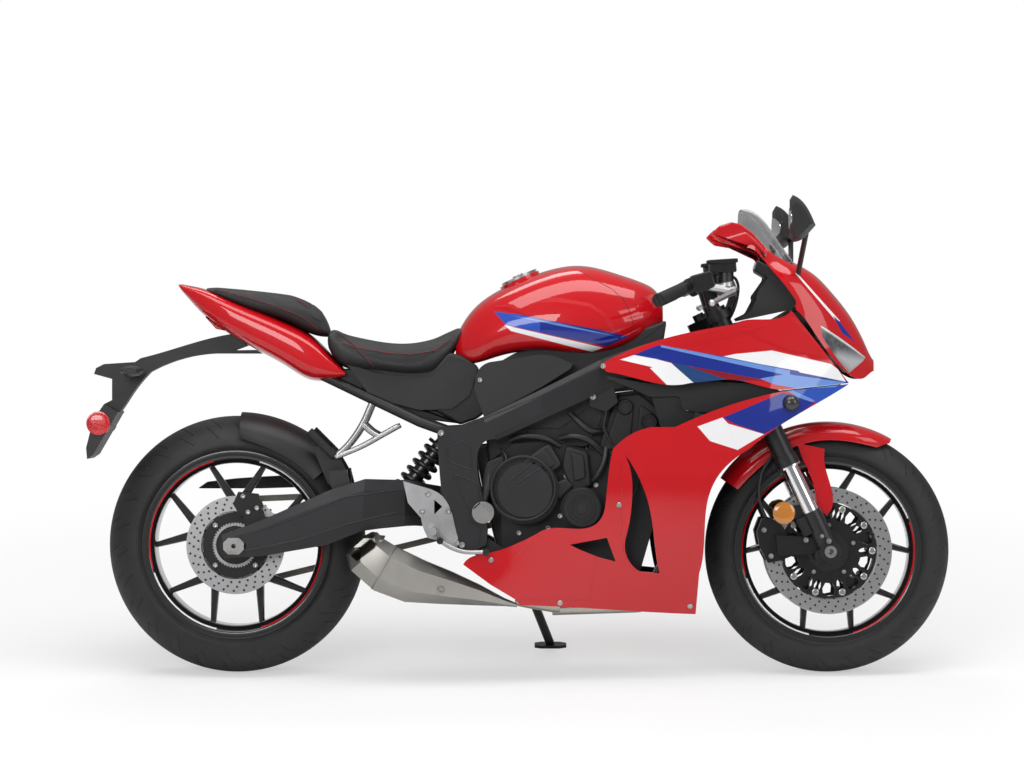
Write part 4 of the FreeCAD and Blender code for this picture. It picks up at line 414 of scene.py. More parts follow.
tankLayers = [
    ("blue", [(494, 311.5), (520, 314.5), (560, 322.5), (560, 337), (506, 325)]),
    ("navy", [(540, 318.7), (600, 330), (629, 336.5), (604, 347.5), (560, 337), (540, 333)]),
    ("sky", [(500, 313.5), (560, 323.5), (619, 337), (619, 339), (560, 326), (503, 315.5)]),
    ("white", [(505, 325.3), (603, 347.7), (592, 352), (511, 331)])]
fairingLayers = [
    ("slate", [(671, 362), (700, 367), (760, 379.5), (735, 382), (690, 386)]),
    ("deepRed", [(683, 364), (712, 368.5), (765, 381), (728, 380)]),
    ("navy", [(634, 354.6), (655, 346.3), (664, 343.6), (727, 357), (790, 368), (760, 379.2), (672, 362.7)]),
    ("navy", [(727, 357), (790, 367.4), (851, 381), (851, 385), (760, 379.2)]),
    ("blue", [(752, 378.6), (790, 375), (853, 384), (818, 403.5), (806, 402), (786, 391), (776, 384)]),
    ("sky", [(760, 378.5), (786, 374), (845, 382.2), (835, 387), (800, 389), (775, 384.5)]),
    ("blue", [(786, 387), (810, 388), (848, 385.5), (818, 403.5), (800, 395)]),
    ("sky", [(783, 389), (790, 389), (815, 400.5), (808, 404), (797, 397)]),
    ("sky", [(661, 345.2), (700, 352.6), (790, 370.5), (790, 376), (700, 356), (661, 347.2)]),
    ("white", [(620, 359.6), (634, 355), (656, 359), (671, 363), (656, 368)]),
    ("white", [(650, 368), (671, 363), (694, 383.2), (690, 386), (668, 386)]),
    ("white", [(721, 357), (735, 354), (772, 350.5), (800, 372.3), (760, 364)]),
    ("white", [(772, 350.5), (831, 364), (838, 369.5), (846, 381.8), (800, 372.4)]),
    ("navy", [(723, 417.5), (783, 392.5), (797, 397), (764, 434), (734, 423.8)]),
    ("navy", [(783, 393), (797, 397), (815, 403), (790, 420), (764, 434)]),
    ("white", [(697.5, 426.5), (722.5, 417.5), (728, 423.6), (738, 450), (710, 441)]),
    ("white", [(728, 423.6), (764, 434.2), (737.5, 450)]),
    ("white", [(795, 273), (797, 273), (840, 321), (837, 322)]),
    ("navy", [(829, 308), (839, 321), (854, 334), (864, 348), (842, 333)])]
plainPaint = paintFinish("redPaint")
tankPaint = paintFinish("tankPaint", tankLayers, None,
                        [([(500, 307), (525, 299), (560, 300), (590, 305), (605, 315), (614, 331),
                           (560, 326)], 0.7)])
sideShell = ((0, 0, 0), (0, 1, 0))
noseShell = ((1.16, 0, 0.86),)
fairingPaint = paintFinish("fairingPaint", fairingLayers, sideShell,
                           [([(600, 365), (660, 338), (735, 325), (793, 312), (735, 341), (660, 352)], 0.5),
                            ([(740, 330), (793, 318), (838, 362), (790, 352)], 0.4)])
nosePaint = paintFinish("nosePaint", fairingLayers, noseShell)
bellyPaint = paintFinish("bellyPaint", (), sideShell,
                         [([(497, 583), (530, 540), (600, 545), (590, 600), (500, 600)], 0.5),
                          ([(613, 449), (640, 432), (700, 420), (706, 470), (660, 520), (640, 470)], 0.4)])

blackPlastic = Finish("blackPlastic", black, 0.52).grain(900.0, 0.25).material
seatVinyl = Finish("seatVinyl", black, 0.62).grain(700.0, 0.5, 0.0005).material
gripMaker = Finish("gripRubber", (0.008, 0.008, 0.008), 0.7).grain(500.0, 0.3)
gripRubber = gripMaker.ribs(0.0055, 0.8, 0.0012).material
frameCoat = Finish("frameCoat", (0.018, 0.018, 0.020), 0.42, 0.35).grain(1100.0, 0.15).material
engineCoat = Finish("engineCoat", black, 0.5, 0.2).grain(650.0, 0.45, 0.0005).material
coverCoat = Finish("coverCoat", (0.017, 0.017, 0.019), 0.46, 0.3).grain(650.0, 0.4, 0.0005).material
castAlloy = Finish("castAlloy", (0.46, 0.46, 0.47), 0.34, 0.9).grain(500.0, 0.25, 0.0004, 0.25, 0.1).material
steel = Finish("steel", (0.50, 0.49, 0.48), 0.28, 1.0).grain(400.0, 0.12, 0.0002, 0.2).material
forkBlack = Finish("forkBlack", (0.009, 0.009, 0.010), 0.38, 0.3).grain(800.0, 0.12).material
caliperCoat = Finish("caliperCoat", (0.011, 0.011, 0.012), 0.4, 0.4).grain(700.0, 0.3).material
redLens = Finish("redLens", (0.50, 0.008, 0.010), 0.12, 0.0, 1.0).grain(300.0, 0.4, 0.0006).material
mirrorShell = Finish("mirrorShell", (0.009, 0.009, 0.010), 0.48).grain(800.0, 0.2).material
radiatorMaker = Finish("radiatorCoat", (0.03, 0.03, 0.032), 0.5, 0.4).grain(400.0, 0.3)
radiatorCoat = radiatorMaker.ribs(0.0032, 0.9, 0.0016).material


def brushed(name, color, roughness, stretch, mouth=None):
    # fine lines along one direction of the upright machine; a mouth outline, if given, is painted near-black
    # as painted shade
    finish = Finish(name, color, roughness, 1.0)
    lines = finish.noise(60.0, 5.0, finish.place(scale=stretch), 0.7)
    finish.bump(lines, 0.12, 0.0003)
    finish.rough(finish.shift(lines, roughness - 0.08, roughness + 0.12))
    below = finish.drift(color, 7.0, 3.0, 0.3, 0.7, 0.86)
    if mouth:
        # the recessed mouth is painted near-black: painted shade
        inside = insideShape(finish, pictureSpot(finish), mouth, 1.0)
        below = finish.layer(below, inside, (0.012, 0.011, 0.010))
    finish.paint(below)
    return finish.material


silencerMetal = brushed("silencerMetal", (0.40, 0.385, 0.36), 0.36, (1.5, 14, 14),
                        [(350, 555.5), (370, 538.5), (377, 543.5), (375, 548), (357, 561.5)])
headerMetal = brushed("headerMetal", (0.46, 0.43, 0.38), 0.25, (12, 12, 2))
chainMetal = Finish("chainMetal", (0.20, 0.19, 0.17), 0.42, 0.9).grain(600.0, 0.3, 0.0004, 0.4, 0.12).material


def wheelPolar(finish, centre):
    # angle from straight ahead in turns, and distance from the axle
    place = finish.axes(finish.place(centre))
    angle = finish.math("DIVIDE", finish.math("ARCTAN2", place["Z"], place["X"]), fullTurn)
    turns = finish.math("FRACT", finish.math("ADD", angle, 1.0))
    return turns, finish.length(place["X"], place["Z"])


rimStripe = {"inner": 0.2088, "outer": 0.2126, "soft": 0.0004, "endSoft": 0.002,
             "arcs": [("red", 105, 196), ("white", 199, 257), ("red", 287, 359.9), ("red", 0, 19),
                      ("white", 22, 74)]}


def rimFinish(name, centre):
    # gloss black with thin red and white arcs on the lip, each between two angles in degrees
    finish = Finish(name, black, 0.22, 0.0, 0.6, 0.06)
    turns, radius = wheelPolar(finish, centre)
    stripe = finish.band(radius, rimStripe["inner"], rimStripe["outer"], rimStripe["soft"])
    soft = rimStripe["endSoft"]
    below = black
    for color, starts, ends in rimStripe["arcs"]:
        arc = finish.band(turns, starts / 360 - soft / 2, ends / 360 + soft / 2, soft)
        below = finish.layer(below, finish.math("MULTIPLY", arc, stripe), colors[color])
    finish.paint(below)
    finish.bump(finish.noise(700.0, 2.0), 0.06, 0.0002)
    return finish.material


def discFinish(name, centre, inner, rows, holes, holeRadius):
    # ground steel with rows of drilled holes, painted near-black as painted shade, each row a (radius,
    # phase); the carrier inside is black
    finish = Finish(name, (0.55, 0.55, 0.56), 0.30, 1.0)
    turns, radius = wheelPolar(finish, centre)
    rings = finish.combined(finish.math("MULTIPLY", radius, 60.0), finish.math("MULTIPLY", turns, 3.0))
    lines = finish.noise(40.0, 4.0, rings, 0.7)
    finish.bump(lines, 0.12, 0.0003)
    below = finish.layer((0.56, 0.56, 0.57), finish.ramp(lines, 0.35, 0.65), (0.42, 0.42, 0.43))
    holeShadeMask = None
    for row, phase in rows:
        share = finish.math("FRACT", finish.math("MULTIPLY_ADD", turns, float(holes), phase))
        along = finish.math("MULTIPLY", finish.math("SUBTRACT", share, 0.5), fullTurn * row / holes)
        gap = finish.length(along, finish.math("SUBTRACT", radius, row))
        inside = finish.rest(finish.ramp(gap, holeRadius * 0.85, holeRadius * 1.1))
        holeShadeMask = inside if holeShadeMask is None else finish.math("MAXIMUM", holeShadeMask, inside)
    # the holes are only painted: near-black and not metal, as painted shade
    below = finish.layer(below, holeShadeMask, (0.012, 0.012, 0.012))
    carrier = finish.rest(finish.ramp(radius, inner - 0.0005, inner + 0.0005))
    finish.paint(finish.layer(below, carrier, (0.014, 0.014, 0.015)))
    finish.metal(finish.rest(finish.math("MAXIMUM", holeShadeMask, finish.math("MULTIPLY", carrier, 0.7))))
    return finish.material


frontRimPaint = rimFinish("frontRimPaint", frontAxle)
rearRimPaint = rimFinish("rearRimPaint", rearAxle)
frontDiscSteel = discFinish("frontDiscSteel", frontAxle, 0.1165,
                            [(0.126, 0.0), (0.137, 0.33), (0.148, 0.66)], 34, 0.0028)
rearDiscSteel = discFinish("rearDiscSteel", rearAxle, 0.083,
                           [(0.091, 0.0), (0.102, 0.33), (0.112, 0.66)], 28, 0.0030)


def forkFinish():
    # black tubes with a bright sliding length in between, measured along the steering line from the axle
    finish = Finish("forkFinish", (0.016, 0.016, 0.017), 0.34, 0.3)
    rake = math.radians(machine["rakeDegrees"])
    distance = finish.vector("DOT_PRODUCT", finish.place(frontAxle), (-math.sin(rake), 0.0, math.cos(rake)))
    bright = finish.band(distance, 0.108, 0.232, 0.001)
    lines = finish.noise(240.0)
    below = finish.layer((0.016, 0.016, 0.017), finish.ramp(lines, 0.4, 0.7), (0.022, 0.022, 0.024))
    finish.paint(finish.layer(below, bright, (0.74, 0.74, 0.76)))
    finish.metal(finish.math("MULTIPLY_ADD", bright, 0.7, 0.3))
    finish.rough(finish.math("MULTIPLY_ADD", bright, -0.26, 0.36))
    finish.bump(lines, 0.05, 0.0002)
    return finish.material


def lampFinish():
    # a clear cover over a reflector: dark above, pale below, with a painted highlight as a bright strip along
    # the top edge
    finish = Finish("lampGlass", (0.05, 0.055, 0.06), 0.07, 0.0, 1.0)
    at = pictureSpot(finish)
    pale = insideShape(finish, at, [(838, 352), (869, 358), (866, 364), (851, 373), (834, 357)], 7.0)
    # the bright strip along the top edge is a painted highlight
    strip = insideShape(finish, at, [(818, 325), (824, 327), (871, 357), (868, 360)], 1.0)
    lines = finish.noise(90.0, 2.0)
    below = finish.layer((0.05, 0.055, 0.06), finish.ramp(lines, 0.35, 0.65), (0.09, 0.095, 0.10))
    below = finish.layer(below, pale, (0.42, 0.43, 0.44))
    finish.paint(finish.layer(below, strip, (0.62, 0.63, 0.64)))
    finish.bump(lines, 0.06)
    return finish.material


def controlFinish():
    # black housings with a bright lever below them
    finish = Finish("controlFinish", black, 0.4)
    lever = insideShape(finish, pictureSpot(finish), [(706, 286), (736, 281), (736, 300), (706, 316)], 1.0)
    lines = finish.noise(700.0)
    below = finish.layer((0.008, 0.008, 0.009), finish.ramp(lines, 0.35, 0.7), (0.014, 0.014, 0.015))
    finish.paint(finish.layer(below, lever, (0.55, 0.55, 0.56)))
    finish.metal(lever)
    finish.bump(lines, 0.15, 0.0003)
    return finish.material


def screenFinish():
    # thin clear sheet with a light smoky tint
    finish = Finish("screenFinish", (0.93, 0.94, 0.95), 0.05)
    finish.shader.inputs["Transmission Weight"].default_value = 1.0
    finish.shader.inputs["IOR"].default_value = 1.12
    finish.bump(finish.noise(18.0, 2.0), 0.02)
    drift = finish.ramp(finish.noise(4.0, 2.0), 0.3, 0.7)
    finish.paint(finish.layer((0.93, 0.94, 0.95), drift, (0.86, 0.87, 0.88)))
    return finish.material


hoseRubber = Finish("hoseRubber", (0.014, 0.014, 0.015), 0.45).grain(600.0, 0.2).material
podPlastic = Finish("podPlastic", (0.020, 0.020, 0.022), 0.30, 0.0, 0.5).grain(500.0, 0.1).material
amberGlass = Finish("amberGlass", (0.55, 0.20, 0.02), 0.12, 0.0, 1.0).grain(260.0, 0.4, 0.0006).material
finishes = {
    "front_rim": frontRimPaint, "rear_rim": rearRimPaint, "front_discs": frontDiscSteel,
    "rear_disc": rearDiscSteel, "rear_sprocket": steel, "fork_legs": forkFinish(), "front_axle": steel,
    "fork_yokes": forkBlack, "handlebars": forkBlack, "grips": gripRubber,
    "brake_and_clutch_controls": controlFinish(), "front_fender": plainPaint, "front_calipers": caliperCoat,
    "side_stand": frameCoat, "fuel_cap": castAlloy, "frame_head": frameCoat, "frame_spar_right": frameCoat,
    "frame_spar_left": frameCoat, "swingarm": frameCoat, "rear_axle": steel, "pivot_bolt": steel,
    "crankcase": engineCoat, "cylinder_block": engineCoat, "engine_covers": coverCoat,
    "radiator": radiatorCoat, "exhaust_pipes": headerMetal, "silencer": silencerMetal,
    "seat_tray": blackPlastic, "airbox": blackPlastic, "side_covers": blackPlastic, "seat_rail": frameCoat,
    "fuel_tank": tankPaint, "tail_cowl": plainPaint, "rider_seat": seatVinyl, "passenger_seat": seatVinyl,
    "fairing_upper": fairingPaint, "fairing_side": fairingPaint, "fairing_belly": bellyPaint,
    "nose_cowl": nosePaint, "headlamps": lampFinish(), "windscreen": screenFinish(),
    "fairing_stay": blackPlastic, "rear_hugger": blackPlastic, "rear_caliper": caliperCoat,
    "tail_lamp": redLens, "plate_carrier": blackPlastic, "rear_indicators": blackPlastic,
    "mirrors": mirrorShell, "rider_footrests": castAlloy, "passenger_footrests": castAlloy,
    "stand_bracket": frameCoat, "chain": chainMetal}
for name, finish in finishes.items():
    for slotOfNode in nodes[name].material_slots:
        slotOfNode.material = finish
print("finishes on", len(finishes), "nodes")

# Tyres

tread = {"grooves": 26, "wall": (0.66, 0.68), "rings": 420.0, "ringDepth": 0.02, "depth": 0.004,
         "cuts": [(0.0, 1.1, 0.10, 0.44, 0.045), (0.45, 1.5, 0.34, 0.60, 0.035)]}


def tyreFinish(name):
    # rubber with slanting grooves on the tread and fine rings on the walls, from the UV map;
    # a cut is (offset, lean, start, end, thickness), start and end being shares of the way from crown to lip
    finish = Finish(name, (0.009, 0.009, 0.010), 0.62)
    uv = finish.axes(finish.coordinates("UV"))
    across = finish.math("MULTIPLY_ADD", uv["Y"], 4.0, -1.0)  # -1 to 1 over the outer half of the loop
    wide = finish.math("ABSOLUTE", across)
    side = finish.math("GREATER_THAN", across, 0.0)
    cut = None
    for offset, lean, start, end, thick in tread["cuts"]:
        phase = finish.math("MULTIPLY_ADD", wide, lean, offset)
        phase = finish.math("MULTIPLY_ADD", side, 0.5, phase)
        share = finish.math("FRACT", finish.math("MULTIPLY_ADD", uv["X"], float(tread["grooves"]), phase))
        near = finish.math("ABSOLUTE", finish.math("SUBTRACT", share, 0.5))
        line = finish.rest(finish.ramp(near, thick * 0.6, thick))
        mark = finish.math("MULTIPLY", line, finish.band(wide, start, end, 0.03))
        cut = mark if cut is None else finish.math("MAXIMUM", cut, mark)
    rings = finish.math("SINE", finish.math("MULTIPLY", wide, tread["rings"]))
    rings = finish.math("MULTIPLY", rings, finish.ramp(wide, *tread["wall"]))
    height = finish.math("SUBTRACT", finish.math("MULTIPLY", rings, tread["ringDepth"]), cut)
    finish.bump(height, 1.0, tread["depth"])
    finish.bump(finish.noise(900.0), 0.2, 0.0003)
    worn = finish.layer((0.011, 0.011, 0.012), finish.ramp(finish.noise(14.0, 4.0), 0.35, 0.7),
                        (0.007, 0.007, 0.008))
    # the grooves are painted near-black over the rubber: painted shade in them
    finish.paint(finish.layer(worn, cut, (0.002, 0.002, 0.002)))
    finish.rough(finish.shift(finish.noise(45.0), 0.52, 0.70))
    return finish.material


def makeTyre(name, node, values, finish, body):
    # the profile is one closed loop: over the crown from lip to lip, then back inside the carcass
    crown, radius, half = values["crown"], values["radius"], values["rimHalf"]
    rise = values["shoulder"] - (radius - crown)
    most = math.acos(rise / crown)
    angle = np.linspace(-most, most, 61)
    over = np.stack([radius - crown + crown * np.cos(angle), crown * np.sin(angle)], -1)
    lift = np.linspace(0, 1, 14)[1:, None]
    bulge = np.sin(lift * math.pi) * values["bulge"]
    right = over[-1] + (np.array([values["lip"], half]) - over[-1]) * lift + bulge * (0, 1)
    left = right[::-1] * (1, -1)
    outer = np.concatenate([left, over, right])
    inward = np.array([values["bead"], half - values["beadWidth"]])
    angle = np.linspace(most * 0.93, -most * 0.93, len(outer) - 2)
    inside = crown - values["wall"]
    inner = np.stack([radius - crown + inside * np.cos(angle), inside * np.sin(angle)], -1)
    profile = np.concatenate([outer, inward[None], inner, (inward * (1, -1))[None]])
    points = wheelRing(profile, values["axle"], values["steps"])
    faces, uv = gridFaces(values["steps"], len(profile), True, True)
    tyre = meshPiece(name, points, faces[:, ::-1].tolist(), finish, body, 50, uv[:, ::-1])
    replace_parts(tyre, node)


rubber = tyreFinish("tyreRubber")
tyreSizes = {"lip": 0.232, "bead": 0.2195, "beadWidth": 0.012, "bulge": 0.0035, "wall": 0.009, "steps": 360}
frontTyreSizes = {**tyreSizes, "axle": frontAxle, "radius": 0.300, "crown": 0.060, "rimHalf": 0.051,
                  "shoulder": 0.250}
rearTyreSizes = {**tyreSizes, "axle": rearAxle, "radius": 0.315, "crown": 0.090, "rimHalf": 0.076,
                 "shoulder": 0.245}
makeTyre("frontTyre", "front_tyre", frontTyreSizes, rubber, "front_wheel")
makeTyre("rearTyre", "rear_tyre", rearTyreSizes, rubber, "rear_wheel")
print("tyres made")

# Places on surfaces

def surfaceOf(*objects):
    # one search tree over several meshes
    points, faces = [], []
    for thing in objects:
        start = len(points)
        points += [vertex.co.copy() for vertex in thing.data.vertices]
        faces += [[start + index for index in polygon.vertices] for polygon in thing.data.polygons]
    return BVHTree.FromPolygons(points, faces)


def nodeSurface(*names):
    # one search tree over several nodes of the frame
    return surfaceOf(*(nodes[name] for name in names))


def castFrom(tree, start, direction):
    # place and outward direction where a ray meets the surface, both upright
    origin = leaned(start)
    heading = leaned(np.asarray(start) + direction) - origin
    place, normal, *_ = tree.ray_cast(Vector(origin), Vector(heading).normalized())
    if place is None:
        return None, None
    if normal.dot(Vector(heading)) > 0:
        normal = -normal
    outward = upright(np.array(place + normal)) - upright(np.array(place))
    return upright(np.array(place)), outward


def under(tree, column, row, side=1):
    # the surface place seen at a column and row, from the right (1) or the left (-1)
    out, found = 0.1, (None, None)
    for attempt in range(3):
        start = spot(column, row, out) * (1, 0, 1) + (0, -side * 0.6, 0)
        place, outward = castFrom(tree, start, np.array((0, side, 0)))
        if place is None:
            break
        found = (place, outward)
        out = abs(place[1])
    return found


def boltsOn(name, tree, pixels, radius, height, finish, body, sides=bothSides, corners=12):
    # bolt heads on a surface, under picture spots
    places, outwards = [], []
    for side in sides:
        for column, row in pixels:
            place, outward = under(tree, column, row, side)
            if place is not None:
                places.append(place - outward * height * 0.2)
                outwards.append(outward)
    if not places:
        print("no surface under", name)
        return
    boltHeads(name, places, outwards, radius, height, finish, body, corners)


def resampled(corners, count):
    # evenly spaced places along a line of corners, by its running length
    corners = np.asarray(corners, float)
    lengths = np.concatenate([[0], np.cumsum(np.linalg.norm(np.diff(corners, axis=0), axis=1))])
    at = np.linspace(0, lengths[-1], count)
    return np.stack([np.interp(at, lengths, corners[:, axis]) for axis in range(corners.shape[1])], -1)


def pathOn(tree, pixels, side, steps, lift=0.0):
    # evenly spaced surface places under a line of picture spots
    places, outwards = [], []
    for column, row in resampled(pixels, steps):
        place, outward = under(tree, column, row, side)
        if place is not None:
            places.append(place + outward * lift)
            outwards.append(outward)
    return np.array(places), np.array(outwards)


def tubeFaces(rings, around, closed=False):
    # quads round a tube, and a flat face at both ends of an open one
    faces = gridFaces(rings, around, closed, True)[0].tolist()
    if not closed:
        faces.append(list(range(around)))
        faces.append([(rings - 1) * around + index for index in range(around)][::-1])
    return faces


def tubePoints(path, radius, around=8, closed=False):
    # circles across a path: centre + radius (cos t side + sin t up)
    path = np.asarray(path, float)
    if closed:
        along = np.roll(path, -1, 0) - np.roll(path, 1, 0)
    else:
        along = np.gradient(path, axis=0)
    along /= np.linalg.norm(along, axis=1, keepdims=True)
    side = np.zeros_like(path)
    start = np.cross(along[0], (0.13, 0.92, 0.36))
    side[0] = start / np.linalg.norm(start)
    for index in range(1, len(path)):
        carried = side[index - 1] - along[index] * (side[index - 1] @ along[index])
        side[index] = carried / np.linalg.norm(carried)
    up = np.cross(along, side)
    turn = np.linspace(0, fullTurn, around, endpoint=False)
    radius = np.broadcast_to(np.asarray(radius, float), (len(path),))[:, None, None]
    return (path[:, None] + radius * (np.cos(turn)[None, :, None] * side[:, None]
                                      + np.sin(turn)[None, :, None] * up[:, None]))


def tubes(name, paths, radius, finish, body, around=8, closed=False):
    # one round tube along each path, all in one piece
    points, faces, start = [], [], 0
    for path in paths:
        rings = tubePoints(path, radius, around, closed)
        faces += [[start + index for index in face] for face in tubeFaces(len(rings), around, closed)]
        points.append(rings.reshape(-1, 3))
        start += rings.size // 3
    return meshPiece(name, np.concatenate(points), faces, finish, body, 50)


def smoothPath(points, steps):
    # a Catmull-Rom curve through the points
    points = np.asarray(points, float)
    padded = np.concatenate([2 * points[:1] - points[1:2], points, 2 * points[-1:] - points[-2:-1]])
    share = np.linspace(0, len(points) - 1 - 1e-6, steps)
    index = share.astype(int)
    t = (share - index)[:, None]
    a, b, c, d = (padded[index + offset] for offset in range(4))
    return 0.5 * (2 * b + (c - a) * t + (2 * a - 5 * b + 4 * c - d) * t ** 2
                  + (3 * b - a - 3 * c + d) * t ** 3)


def turned(name, solids, finish, body, slot, steps=64):
    # profiles of (radius, out) turned about lines across the machine; each solid is (x, z, side, profile)
    points, faces, start = [], [], 0
    turn = np.linspace(0, fullTurn, steps, endpoint=False)
    for x, z, side, profile in solids:
        profile = np.asarray(profile, float)
        radius, out = profile[:, :1], profile[:, 1:]
        ring = np.stack(np.broadcast_arrays(x + radius * np.cos(turn), -side * out,
                                            z + radius * np.sin(turn)), -1)
        quads, _ = gridFaces(len(profile), steps, False, True)
        first = np.arange(steps) + start
        last = first + (len(profile) - 1) * steps
        faces += (quads[:, ::side] + start).tolist() + [first[::-side].tolist(), last[::side].tolist()]
        points.append(ring.reshape(-1, 3))
        start += ring.size // 3
    return meshPiece(name, np.concatenate(points), faces, finish, body, 35)


# Seats: a foam pad swollen inside its cover, then seams and stitches on top

def loftRings(stations, half, power, steps, around=64):
    # rings across the machine: y = half share |cos t|^(2/power), z = middle + height |sin t|^(2/power), signs
    # kept; the stations (column, top row, bottom row, share) are joined by a smooth curve
    table = smoothPath(stations, steps)
    centre = spot(table[:, 0], (table[:, 1] + table[:, 2]) / 2)
    height = (table[:, 2] - table[:, 1]) / 2 * machine["metresPerPixel"]
    turn = np.linspace(0, fullTurn, around, endpoint=False)
    across = np.sign(np.cos(turn)) * np.abs(np.cos(turn)) ** (2 / power)
    above = np.sign(np.sin(turn)) * np.abs(np.sin(turn)) ** (2 / power)
    x = np.repeat(centre[:, :1], around, 1)
    return np.stack([x, half * table[:, 3:4] * across, centre[:, 2:3] + height[:, None] * above], -1)


def vertexValues(mesh, key):
    # places or normals of all vertices as rows of three
    values = np.empty(len(mesh.vertices) * 3)
    mesh.vertices.foreach_get(key, values)
    return values.reshape(-1, 3)


def settled(piece):
    # the piece's mesh with its modifiers applied
    graph = bpy.context.evaluated_depsgraph_get()
    made = bpy.data.meshes.new_from_object(piece.evaluated_get(graph))
    piece.modifiers.clear()
    piece.data = made
    return made


def stuffed(piece, start, normals, values):
    # the cover swollen by pressure in a cloth simulation, its underside held, each move cut to the cap
    held = piece.vertex_groups.new(name="held")
    held.add([int(index) for index in np.nonzero(normals[:, 2] < values["heldBelow"])[0]], 1.0, "ADD")
    cloth = piece.modifiers.new("stuffing", "CLOTH")
    cloth.settings.use_pressure = True
    cloth.settings.uniform_pressure_force = values["pressure"]
    cloth.settings.effector_weights.gravity = 0
    cloth.settings.vertex_group_mass = "held"
    cloth.settings.quality = values["quality"]
    cloth.point_cache.frame_start, cloth.point_cache.frame_end = 1, values["frames"]
    for step in range(1, values["frames"] + 1):
        bpy.context.scene.frame_set(step)
    swollen = piece.evaluated_get(bpy.context.evaluated_depsgraph_get()).data
    push = vertexValues(swollen, "co") - start
    size = np.linalg.norm(push, axis=1, keepdims=True)
    push *= np.minimum(1, values["cap"] / np.maximum(size, 1e-9))
    piece.modifiers.clear()
    piece.vertex_groups.clear()
    bpy.context.scene.frame_set(1)
    piece.data.vertices.foreach_set("co", (start + push).ravel())


def paddedSeat(name, node, values, finish):
    # a closed loft made of even cells, drawn in a little, then stuffed out again
    rings = loftRings(values["stations"], values["half"], values["power"], values["rings"])
    mesh = bpy.data.meshes.new(name)
    mesh.from_pydata(leaned(rings.reshape(-1, 3)).tolist(), [], tubeFaces(rings.shape[0], rings.shape[1]))
    outwardNormals(mesh)
    piece = bpy.data.objects.new(name, mesh)
    bpy.context.scene.collection.objects.link(piece)
    even = piece.modifiers.new("even", "REMESH")
    even.mode = "VOXEL"
    even.voxel_size = values["voxel"]
    soft = piece.modifiers.new("soft", "SMOOTH")
    soft.iterations = values["smooth"]
    remeshed = settled(piece)
    normals = vertexValues(remeshed, "normal")
    start = vertexValues(remeshed, "co") - normals * values["shrink"]
    remeshed.vertices.foreach_set("co", start.ravel())
    remeshed.update()
    stuffed(piece, start, normals, values)
    finer = piece.modifiers.new("finer", "SUBSURF")
    finer.levels = finer.render_levels = 1
    made = settled(piece)
    made.name = name
    made.polygons.foreach_set("use_smooth", [True] * len(made.polygons))
    made.materials.clear()
    made.materials.append(finish)
    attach(piece, "chassis")
    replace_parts(piece, node)
    return piece


seatSizes = {"voxel": 0.0050, "smooth": 3, "shrink": 0.0025, "pressure": 4.0, "quality": 5, "frames": 20,
             "heldBelow": -0.3, "cap": 0.004, "fill": 0.85, "rings": 60, "power": 2.9}
riderStations = [(329, 331, 350, 0.80), (336, 330, 362, 0.88), (350, 336, 370, 0.94), (385, 343, 374, 1.0),
                 (410, 344, 377, 0.97), (432, 340, 376, 0.82), (446, 334, 366, 0.68), (457, 329, 350, 0.56),
                 (463, 327, 338, 0.48)]
passengerStations = [(206, 287, 293, 0.45), (222, 288.5, 300, 0.70), (250, 291, 312, 0.88),
                     (285, 295, 323, 0.97), (306, 299, 333, 1.0), (318, 307, 337, 1.0), (327, 320, 338, 0.96),
                     (331, 330, 338, 0.94)]
riderPad = paddedSeat("riderPad", "rider_seat",
                      {**seatSizes, "stations": riderStations, "half": 0.132}, seatVinyl)
passengerPad = paddedSeat("passengerPad", "passenger_seat",
                          {**seatSizes, "stations": passengerStations, "half": 0.098}, seatVinyl)
tailStations = [(180, 284.5, 287, 0.36), (186, 285, 295, 0.44), (208, 290, 318, 0.66), (240, 303, 340, 0.86),
                (280, 319, 362, 0.97), (310, 334, 379.5, 1.0), (334, 357, 380, 0.96), (347, 371.5, 376, 0.92)]
tailSizes = {"half": 0.112, "power": 3.4, "rings": 90}
tailRings = loftRings(tailStations, tailSizes["half"], tailSizes["power"], tailSizes["rings"])
tail = meshPiece("tailShell", tailRings, tubeFaces(*tailRings.shape[:2]), plainPaint, "chassis",
                 35)
outwardNormals(tail.data)
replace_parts(tail, "tail_cowl")
riderSurface, passengerSurface = surfaceOf(riderPad), surfaceOf(passengerPad)
print("seats padded")


seamSizes = {"welt": 0.0011, "thread": 0.0007, "reach": 0.0026, "lift": 0.0009, "rise": 0.0005, "fewest": 6}


def seamsAndStitches(name, tree, seams, finish, threadFinish):
    # a welt along each line, with short stitches beside it
    welts, threads = [], []
    for pixels, steps, sideOffset in seams:
        for side in bothSides:
            path, outward = pathOn(tree, pixels, side, steps)
            if len(path) < seamSizes["fewest"]:
                continue
            welts.append(path)
            along = np.gradient(path, axis=0)
            along /= np.linalg.norm(along, axis=1, keepdims=True)
            beside = np.cross(outward, along) * sideOffset
            for index in range(1, len(path) - 1, 2):
                middle = path[index] + beside[index] + outward[index] * seamSizes["lift"]
                reach = along[index] * seamSizes["reach"]
                rise = outward[index] * seamSizes["rise"]
                threads.append(middle + np.array([-reach, rise - reach * 0.5, rise + reach * 0.5, reach]))
    tubes(name + "Welts", welts, seamSizes["welt"], finish, "chassis", 6)
    tubes(name + "Threads", threads, seamSizes["thread"], threadFinish, "chassis", 5)


redThread = Finish("redThread", (0.22, 0.006, 0.010), 0.7).grain(2000.0, 0.4).material
seamsAndStitches("rider", riderSurface,
                 [([(337, 333), (350, 343), (362, 356), (373, 367)], 60, 0.004),
                  ([(342, 344), (352, 348), (384, 354), (412, 356), (436, 352), (452, 340)], 130, 0.004)],
                 seatVinyl, redThread)
seamsAndStitches("passenger", passengerSurface,
                 [([(214, 290), (250, 300), (280, 309), (302, 318), (318, 330)], 110, 0.004),
                  ([(296, 300), (303, 305), (308, 309)], 14, 0.004)], seatVinyl, redThread)


